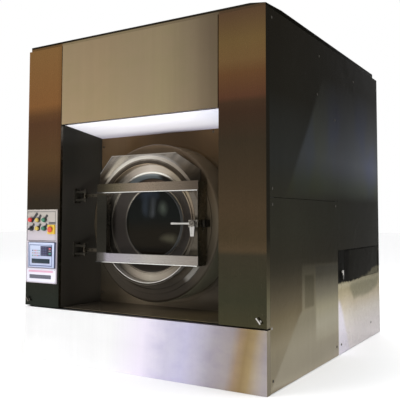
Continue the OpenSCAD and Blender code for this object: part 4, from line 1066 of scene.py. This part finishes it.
fs = [p.bm.faces.new([A[k], A[(k + 1) % 64], B[(k + 1) % 64], B[k]]) for A, B in zip(rows, rows[1:]) for k in range(64)]
fs += [p.bm.faces.new(rows[0]), p.bm.faces.new(list(reversed(rows[-1])))]
p._paint(fs, 0)
p.box((HX - .006, F + .1400, .796), (HX + .006, F + .1460, .838), .0014, 3, 2)
p.done("door_handle_set", "handle", "chrome", "door_handle", sharp=38)

# ------------------------------------------------------------------ perforated drum
p = Piece(M["drum"])
COLS, RWS = 96, 18
Y0, Y1 = -.452, .176
R1, R0 = .548, .544
dy = (Y1 - Y0) / RWS
pts = {}


def on_wall(i, j, R):
    """Grid point of the wall: i in half columns, j in half rows."""
    key = (i % (2 * COLS), j, R)
    if key not in pts:
        a = pi * (i % (2 * COLS)) / COLS
        pts[key] = p.bm.verts.new((R * cos(a), Y0 + dy * j / 2, AZ + R * sin(a)))
    return pts[key]


made = []
for row in range(RWS):
    for col in range(COLS):
        ci, cj = 2 * col + 1 + (row % 2), 2 * row + 1
        a, y = pi * ci / COLS, Y0 + dy * cj / 2
        loops = {}
        for R in (R1, R0):
            edge = [on_wall(ci + u, cj + v, R) for u, v in ((1, 0), (1, 1), (0, 1), (-1, 1), (-1, 0), (-1, -1), (0, -1), (1, -1))]
            hole = []
            for k in range(8):
                f = pi * k / 4
                b = a + .0058 * cos(f) / R
                hole.append(p.bm.verts.new((R * cos(b), y + .0058 * sin(f), AZ + R * sin(b))))
            for k in range(8):
                q = [edge[k], edge[(k + 1) % 8], hole[(k + 1) % 8], hole[k]]
                made.append(p.bm.faces.new(q if R == R1 else q[::-1]))
            loops[R] = hole
        for k in range(8):
            made.append(p.bm.faces.new([loops[R1][k], loops[R1][(k + 1) % 8], loops[R0][(k + 1) % 8], loops[R0][k]]))
for j in (0, 2 * RWS):
    for i in range(2 * COLS):
        q = [on_wall(i, j, R1), on_wall(i + 1, j, R1), on_wall(i + 1, j, R0), on_wall(i, j, R0)]
        made.append(p.bm.faces.new(q))
p._paint(made, 0)
p.lathe([(.548, -.470), (.5460, -.4716), (.330, -.4710), (.3225, -.4735), (.3180, -.4800), (.3120, -.4800), (.3120, -.4740), (.3180, -.4700),
         (.3240, -.4665), (.332, -.4660), (.544, -.4660), (.544, -.4520), (.548, -.4520)], (0, 0, AZ), "y", 192, closed=True)
p.lathe([(.544, .1760), (.544, .1830), (.540, .1880), (.412, .1880), (.404, .1850), (.392, .1850), (.384, .1880), (.262, .1880), (.254, .1850),
         (.242, .1850), (.234, .1880), (.045, .1880), (.045, .1940), (.232, .1940), (.240, .1915), (.256, .1915), (.264, .1940), (.382, .1940),
         (.390, .1915), (.406, .1915), (.414, .1940), (.546, .1940), (.548, .1920), (.548, .1760)], (0, 0, AZ), "y", 192, closed=True)
for k in range(6):
    a = pi * k / 3
    hex_bolt(p, (.110 * cos(a), .1880, AZ + .110 * sin(a)), "y", -1, r=.0125, h=.0085)
p.done("drum_perforated", "drum", "drum_steel", "drum_basket", sharp=30)

p = Piece(M["drum"])
for deg in (-90, 30, 150):
    f = math.radians(deg)
    prof = fillet([(.5385, -.055), (.5385, .055), (.470, .016), (.462, 0), (.470, -.016)], [.003, .003, .014, .006, .014], 5)
    p.prism([(u * cos(f) - v * sin(f), AZ + u * sin(f) + v * cos(f)) for u, v in prof], -.449, .179)
p.done("drum_ribs_formed", "drum", "drum_steel", "drum_lifters", sharp=30)

# ------------------------------------------------------------------ controls
C0, PITCH, ROW1, ROW2 = -.792, .057, .852, .800
EX, EZ = -.617, .794
p = Piece(M["black"], M["plate_yellow"], M["mark"])
for i in range(3):
    for z in (ROW1, ROW2):
        cx = C0 + i * PITCH
        p.lathe([(.0134, -.0002), (.0160, -.0002), (.0160, -.0022), (.0152, -.0026), (.0152, -.0068), (.0150, -.0080), (.0144, -.0089), (.0138, -.0089), (.0134, -.0082)],
                (cx, PY, z), "y", 36, 0, closed=True)
face_plate(p, EX, EZ, .030, .029, .004, PY - .0002, PY - .0100, .0018, hole=.0140, mat=1)
# The black plates turned to slant up to the right of each lamp and button, and the dark line above the E-stop, are
# painted shadows: dark plates set where the buttons' cast shadows fall.
for cx, cz, w, h, t in ((C0 + .0290, ROW1 + .0232, .0270, .0085, .80), (C0 + PITCH + .0135, ROW1 + .0200, .0135, .0078, .9),
                        (C0 + 2 * PITCH + .0135, ROW1 + .0200, .0135, .0078, .9), (C0 + .0130, ROW2 + .0190, .0120, .0072, .9),
                        (C0 + PITCH + .0130, ROW2 + .0190, .0120, .0072, .9), (C0 + 2 * PITCH + .0130, ROW2 + .0190, .0120, .0072, .9)):
    face_plate(p, cx, cz, w, h, .0020, PY, PY - .0022, .0005, mat=0, turn=t)
face_plate(p, EX + .002, EZ + .0395, .030, .0050, .0012, PY, PY - .0016, .0005, mat=2)
p.done("control_bezels_and_shadow_plates", "cabinet", "black_plastic", "button_bezels", sharp=35)

p = Piece(M["black"], M["lens_red"], M["lens_yellow"], M["lens_green"])
for i in range(3):
    at = (C0 + i * PITCH, PY, ROW1)
    p.lathe([(0, .0140), (.0080, .0140), (.0080, -.0008), (.0130, -.0008), (.0130, -.0096), (.0126, -.0106), (0, -.0106)], at, "y", 36, 0)
    e, b = ((.0066, 1.20), (.0040, 1.06), (.0040, 1.06))[i]
    if not i:
        at = (C0 - .003, PY, ROW1 + .001)
    p.lathe([(0, -.0100), (.0122 * b, -.0100), (.0122 * b, -.0132 - .8 * e), (.0114 * b, -.0158 - .9 * e), (.0092 * b, -.0176 - e), (.0060 * b, -.0187 - e), (.0028, -.0190 - e), (0, -.0190 - e)], at, "y", 36, 1 + i)
p.done("signal_lamps", "cabinet", "lamp_red", "pilot_lamps", sharp=35)

cap = [(0, .0160), (.0080, .0160), (.0080, -.0070), (.0130, -.0070), (.0130, -.0176), (.0124, -.0191), (.0110, -.0199), (.0095, -.0198), (.0060, -.0193), (0, -.0191)]
for name, i, body, mat, slot, node in (("push_yellow", 1, "yellow_push", "cap_yellow", "yellow_plastic", "yellow_button"), ("push_green", 2, "green_push", "cap_green", "green_plastic", "green_button")):
    p = Piece(M[mat])
    p.lathe(cap, (C0 + i * PITCH, PY, ROW2), "y", 40)
    p.done(name, body, slot, node, sharp=35)

p = Piece(M["black"], M["pointer"])
p.lathe([(0, .0160), (.0080, .0160), (.0080, -.0006), (.0130, -.0006), (.0130, -.0086), (.0123, -.0098), (.0108, -.0101), (0, -.0101)], (C0, PY, ROW2), "y", 40)
turn = Matrix.Translation((C0, PY, ROW2)) @ Matrix.Rotation(math.radians(45), 4, "Y")
p.box((-.0045, -.0260, -.0120), (.0045, -.0095, .0120), .0018, 3, 0, turn)
p.box((-.0009, -.0260, .0025), (.0009, -.0250, .0105), .0002, 1, 1, turn)
p.done("selector_knob", "selector", "black_plastic", "selector_switch", sharp=35)

p = Piece(M["cap_red"], M["black"])
p.lathe([(0, .0160), (.0080, .0160), (.0080, -.0006), (.0120, -.0006), (.0120, -.0160), (0, -.0160)], (EX, PY, EZ), "y", 40, 1)
p.lathe([(0, -.0156), (.0176, -.0156), (.0185, -.0163), (.0185, -.0184), (.0178, -.0204), (.0162, -.0219), (.0125, -.0235), (.0080, -.0244), (.0040, -.0249), (0, -.0250)],
        (EX, PY, EZ), "y", 44, 0)
p.done("estop_mushroom", "estop", "red_plastic", "estop_button", sharp=35)

# controller face: pale film with an inset line, keypad block, small keys and a display
p = Piece(M["film"], M["film_line"], M["keypad"], M["key_pale"], M["key_red"], M["key_green"], M["key_amber"], M["lcd"], M["key_dim"])
p.box((-.8070, PY - .0118, .5610), (-.5835, PY - .0073, .7130), .0010, 2, 0)
YF = PY - .0118
for a, b in (((-.7985, .6958), (-.6000, .7000)), ((-.7985, .5690), (-.6000, .5740)), ((-.7985, .5690), (-.7935, .7000)), ((-.6040, .5690), (-.6000, .7000))):
    p.box((a[0], YF - .0004, a[1]), (b[0], YF + .0005, b[1]), .00015, 1, 1)
face_plate(p, -.6500, .6615, .0490, .0305, .0020, YF + .0005, PY - .0134, .0007, mat=2)
for r in range(4):
    for c in range(3):
        face_plate(p, -.6870 + c * .0170, .6835 - r * .0146, .0062, .0048, .0012, PY - .0133, PY - .0135, .0001, mat=8)
face_plate(p, -.6180, .6765, .0095, .0040, .0012, PY - .0131, PY - .0135, .0002, mat=4)
face_plate(p, -.6180, .6620, .0095, .0032, .0012, PY - .0131, PY - .0135, .0002, mat=3)
face_plate(p, -.6180, .6460, .0095, .0046, .0012, PY - .0131, PY - .0135, .0002, mat=5)
for r, tones in enumerate(((8, 6, 4, 3, 5), (6, 3, 4, 6, 3), (5, 6, 3, 4, 8))):
    for c, m in enumerate(tones):
        face_plate(p, -.7690 + c * .0142, .6640 - r * .0155, .0040, .0036, .0010, YF + .0003, YF - .0010, .0003, mat=m)
face_plate(p, -.6980, .6000, .0780, .0140, .0015, YF + .0005, PY - .0134, .0006, mat=7)
p.done("controller_front", "cabinet", "keypad_film", "controller_face", sharp=35)

# lines and a blank label plate on the control panel
p = Piece(M["mark"], M["blank"], M["plate_grey"], M["mark_pink"], M["bolt"], M["key_grey"])
for a, b in (((-.8345, .9012), (-.5870, .9044)), ((-.8345, .7250), (-.8318, .9044)), ((-.5894, .7250), (-.5866, .9044)), ((-.8345, .7232), (-.5812, .7262))):
    p.box((a[0], PY - .0007, a[1]), (b[0], PY + .0004, b[1]), .0002, 1, 0)
face_plate(p, -.7060, .5120, .1240, .0400, .0030, PY + .0003, PY - .0010, .0004, mat=1)
face_plate(p, -.7120, .5030, .0940, .0120, .0020, PY - .0007, PY - .0016, .0003, mat=2)
for c in range(10):
    face_plate(p, -.7905 + c * .0174, .5060, .0060, .0040, .0008, PY - .0015, PY - .0021, .0002, mat=5)
p.box((-.8140, PY - .0016, .5300), (-.6020, PY - .0007, .5425), .0003, 1, 3)
for x in (-.8250, -.5870):
    for z in (.4770, .5470):
        p.lathe([(0, -.0022), (.0012, -.0021), (.0022, -.0015), (.0024, -.0009), (0, -.0009)], (x, PY, z), "y", 16, 4)
for x in (-.8345, -.5800):
    for z in (.4700, .9105):
        screw(p, (x, PY, z), "y", -1, r=.0028, h=.0014, mat=4, seg=16)
p.done("control_panel_marks", "cabinet", "panel_paint", sharp=35)

# ------------------------------------------------------------------ locks
for name, body, node, x, z in (("right_lock_lever", "right_lock", "right_panel_lock", .812, .356), ("left_lock_lever", "left_lock", "left_panel_lock", -.815, .358)):
    p = Piece(M["chrome" if body == "right_lock" else "chrome_dark"], M["bolt"])
    at = (x, F - .0004, z)
    p.lathe([(0, .0140), (.0064, .0140), (.0068, .0136), (.0068, 0), (.0090, 0), (.0090, -.0024), (.0083, -.0034), (.0064, -.0038), (.0058, -.0046), (.0058, -.0092), (0, -.0092)], at, "y", 40)
    turn = Matrix.Translation(at) @ Matrix.Rotation(math.radians(-40), 4, "Y")
    p.box((-.0040, -.0160, -.0133), (.0040, -.0090, .0247), .0018, 3, 0, turn)
    p.box((x - .009, at[1] + .007, z - .024), (x + .009, at[1] + .010, z + .009), .0008, 2, 1)
    p.done(name, body, "chrome", node, sharp=35)
p = Piece(M["lever_low"], M["bolt"])
p.lathe([(0, -.0124), (.0060, -.0124), (.0060, 0), (.0110, 0), (.0110, .0034), (.0102, .0046), (.0076, .0052), (.0070, .0060), (.0070, .0086), (.0062, .0090), (0, .0090)],
        (.8504, .124, .516), "x", 40)
p.box((.8542, .1160, .4660), (.8592, .1320, .5260), .0022, 3, 0)
p.done("hatch_lock_lever", "hatch_turn_lock", "chrome", "hatch_lock", sharp=35)

# ------------------------------------------------------------------ rear: louvre hoods, pipes and gland
p = Piece(M["rear"])
for s in (-1, 1):
    for i in range(8):
        z0 = 1.380 + .040 * i
        xa, xb = s * .380 - .1315, s * .380 + .1315
        hood = [(.9401, z0 + .0175), (.9436, z0 + .0162), (.9466, z0 + .0128), (.9484, z0 + .0080), (.9488, z0 + .0010), (.9476, z0 + .0010),
                (.9472, z0 + .0076), (.9456, z0 + .0120), (.9430, z0 + .0150), (.9401, z0 + .0161)]
        p.prism(hood, xa, xb, plane="yz")
        full = hood[:5] + [(.9401, z0 + .0010)]
        p.prism(full, xa - .0012, xa, plane="yz")
        p.prism(full, xb, xb + .0012, plane="yz")
p.done("rear_louvres", "cabinet", "side_steel", sharp=50)

p = Piece(M["brass"], M["bolt"])
for x in (.300, .420, .540):
    thread = [(0, .9660), (.0100, .9660), (.0104, .9676), (.0146, .9678)]
    for k in range(9):
        thread += [(.0158, .9668 - .0024 * k), (.0146, .9656 - .0024 * k)]
    thread += [(.0146, .9440), (.0145, .8200), (0, .8200)]
    p.lathe(thread, (x, 0, 1.180), "y", 40, 0)
    p.lathe([(.0140, .9403), (.0215, .9403), (.0215, .9440), (.0204, .9452), (.0140, .9452)], (x, 0, 1.180), "y", 6, 0, closed=True)
    p.box((x - .032, .740, 1.148), (x + .032, .8201, 1.212), .003, 2, 0)
    p.lathe([(0, 1.2720 - 1.2110), (.0200, .0610), (.0220, .0590), (.0220, 0), (0, 0)], (x, .780, 1.2110), "z", 36, 1)
p.done("inlet_valve_set", "cabinet", "brass", "inlet_valves", sharp=35)

p = Piece(M["pipe"], M["bolt"])
p.lathe([(0, .2420 - .165), (.038, .2420 - .165), (.038, 0), (.0372, -.0078), (.0335, -.0180), (.0268, -.0270), (.0180, -.0335), (.0090, -.0370), (0, -.0380)], (0, .060, .165), "z", 48)
p.lathe([(0, .060), (.038, .060), (.038, .368), (.0372, .3758), (.0335, .3860), (.0268, .3950), (.0180, .4015), (.0090, .4050), (0, .4060)], (0, 0, .165), "y", 48)
p.box((-.052, .215, .125), (.052, .300, .217), .006, 3)
p.lathe([(0, 0), (.038, 0), (.038, .300), (.0372, .3078), (.0335, .3180), (.0268, .3270), (.0180, .3335), (.0090, .3370), (0, .3380)], (0, .368, .165), "x", 48)
p.lathe([(0, .368), (.036, .368), (.036, .9415), (.0378, .9420), (.0380, .9460), (.0362, .9490), (.0380, .9500), (.0380, .9540), (.0362, .9570), (.0380, .9580), (.0380, .9620),
         (.0362, .9660), (.0350, .9700), (.0310, .9700), (.0310, .9300), (0, .9300)], (.300, 0, .165), "y", 56)
for k in range(4):
    a = pi / 4 + pi * k / 2
    hex_bolt(p, (.038 * cos(a), .2150, .171 + .033 * sin(a)), "y", -1, r=.0055, h=.005, mat=1)
p.done("drain_pipe_set", "cabinet", "drain_plastic", "drain_valve", sharp=35)

p = Piece(M["black"])
p.lathe([(.009, .9280), (.0159, .9280), (.0159, .9405), (.0240, .9405), (.0240, .9450), (.0226, .9464), (.0182, .9468), (.0182, .9510), (.0160, .9536), (.0110, .9540), (.009, .9530)],
        (-.600, 0, 1.180), "y", 48, closed=True)
p.lathe([(.0158, .9250), (.0238, .9250), (.0238, .9364), (.0158, .9364)], (-.600, 0, 1.180), "y", 6, closed=True)
p.done("cable_gland_set", "cabinet", "black_plastic", "cable_gland", sharp=35)


# ------------------------------------------------------------------ floor, light, camera
def stage_material():
    g = Mat("stage_floor")
    n = g.noise(g.pos, 2.0, 3.0, 0.5)
    v = g.f("MULTIPLY_ADD", n, 0.02, 0.950)
    g.set(Base_Color=g.join(v, v, g.f("MULTIPLY", v, 1.004)), Roughness=0.65, Specular_IOR_Level=0.2)
    return g.m


me = bpy.data.meshes.new("stage_floor")
me.from_pydata([(-30, -30, -0.0006), (30, -30, -0.0006), (30, 30, -0.0006), (-30, 30, -0.0006)], [], [(0, 1, 2, 3)])
me.materials.append(stage_material())
floor = bpy.data.objects.new("stage_floor", me)
scene.collection.objects.link(floor)

world = bpy.data.worlds.new("studio")
scene.world = world
world.use_nodes = True
wt = world.node_tree
wt.nodes.clear()
w_out = wt.nodes.new("ShaderNodeOutputWorld")
w_co = wt.nodes.new("ShaderNodeTexCoord")
w_sep = wt.nodes.new("ShaderNodeSeparateXYZ")
wt.links.new(w_co.outputs["Generated"], w_sep.inputs[0])
w_map = wt.nodes.new("ShaderNodeMapRange")
w_map.inputs[1].default_value = -0.1
w_map.inputs[2].default_value = 1.0
wt.links.new(w_sep.outputs[2], w_map.inputs[0])
w_ramp = wt.nodes.new("ShaderNodeValToRGB")
stops = [(0.0, (.90, .90, .895)), (0.12, (.90, .90, .895)), (0.35, (.95, .95, .95)), (0.70, (1.0, 1.0, 1.0)), (1.0, (1.03, 1.03, 1.04))]
while len(w_ramp.color_ramp.elements) < len(stops):
    w_ramp.color_ramp.elements.new(0.5)
for e, (p, c) in zip(w_ramp.color_ramp.elements, stops):
    e.position = p
    e.color = c + (1.0,)
wt.links.new(w_map.outputs[0], w_ramp.inputs[0])
w_soft = wt.nodes.new("ShaderNodeBackground")
w_soft.inputs[1].default_value = 1.0
wt.links.new(w_ramp.outputs[0], w_soft.inputs[0])
w_seen = wt.nodes.new("ShaderNodeBackground")
w_seen.inputs[0].default_value = (1.0, 1.0, 1.0, 1.0)
w_seen.inputs[1].default_value = 1.0
w_path = wt.nodes.new("ShaderNodeLightPath")
w_mix = wt.nodes.new("ShaderNodeMixShader")
wt.links.new(w_path.outputs["Is Camera Ray"], w_mix.inputs[0])
wt.links.new(w_soft.outputs[0], w_mix.inputs[1])
wt.links.new(w_seen.outputs[0], w_mix.inputs[2])
wt.links.new(w_mix.outputs[0], w_out.inputs[0])


def softbox(name, at, look, size, power, colour=(1, 1, 1), spread=pi):
    d = bpy.data.lights.new(name, "AREA")
    d.shape = "RECTANGLE"
    d.size, d.size_y = size
    d.energy = power
    d.color = colour
    d.spread = spread
    o = bpy.data.objects.new(name, d)
    o.location = at
    o.rotation_mode = "QUATERNION"
    o.rotation_quaternion = (Vector(look) - Vector(at)).to_track_quat("-Z", "Y")
    o.visible_camera = False
    o.visible_glossy = False
    scene.collection.objects.link(o)
    return o


softbox("key", (-3.4, -5.2, 4.4), (0, 0, 1.0), (3.2, 3.2), 150, (1.0, 0.99, 0.97))
softbox("side", (5.6, 0.4, 3.4), (0.5, 0, 0.9), (3.0, 3.0), 165, (0.97, 0.99, 1.0))
softbox("back", (-1.5, 5.2, 3.8), (0, 0, 1.0), (3.0, 2.4), 90)
softbox("recess_fill", (0.05, -2.35, 0.10), (0.0, -0.72, 1.42), (1.7, 0.5), 26, (1.0, 1.0, 1.0), spread=2.2)

cam_d = bpy.data.cameras.new("camera")
cam = bpy.data.objects.new("camera", cam_d)
scene.collection.objects.link(cam)
scene.camera = cam
cam_d.sensor_fit = "HORIZONTAL"
cam_d.sensor_width = 36.0
cam_d.lens = 52.88
cam_d.shift_x, cam_d.shift_y = -0.10, -0.035
cam_d.clip_start, cam_d.clip_end = 0.05, 100
yaw, pitch, roll = 0.5178, -0.0549, 0.0016
Rz = Matrix(((cos(yaw), sin(yaw), 0), (-sin(yaw), cos(yaw), 0), (0, 0, 1)))
B = Matrix(((1, 0, 0), (0, 0, -1), (0, 1, 0)))
Rx = Matrix(((1, 0, 0), (0, cos(pitch), -sin(pitch)), (0, sin(pitch), cos(pitch))))
Ry = Matrix(((cos(roll), sin(roll), 0), (-sin(roll), cos(roll), 0), (0, 0, 1)))
R = Ry @ Rx @ B @ Rz
right, down, ahead = R[0], R[1], R[2]
m3 = Matrix((right, -down, -ahead)).transposed()
cam.matrix_world = Matrix.Translation((2.161465, -3.504485, 0.860202)) @ m3.to_4x4()

scene.view_settings.view_transform = "Standard"
scene.view_settings.look = "None"
scene.cycles.max_bounces = 10
scene.cycles.use_denoising = True

bpy.context.view_layer.update()
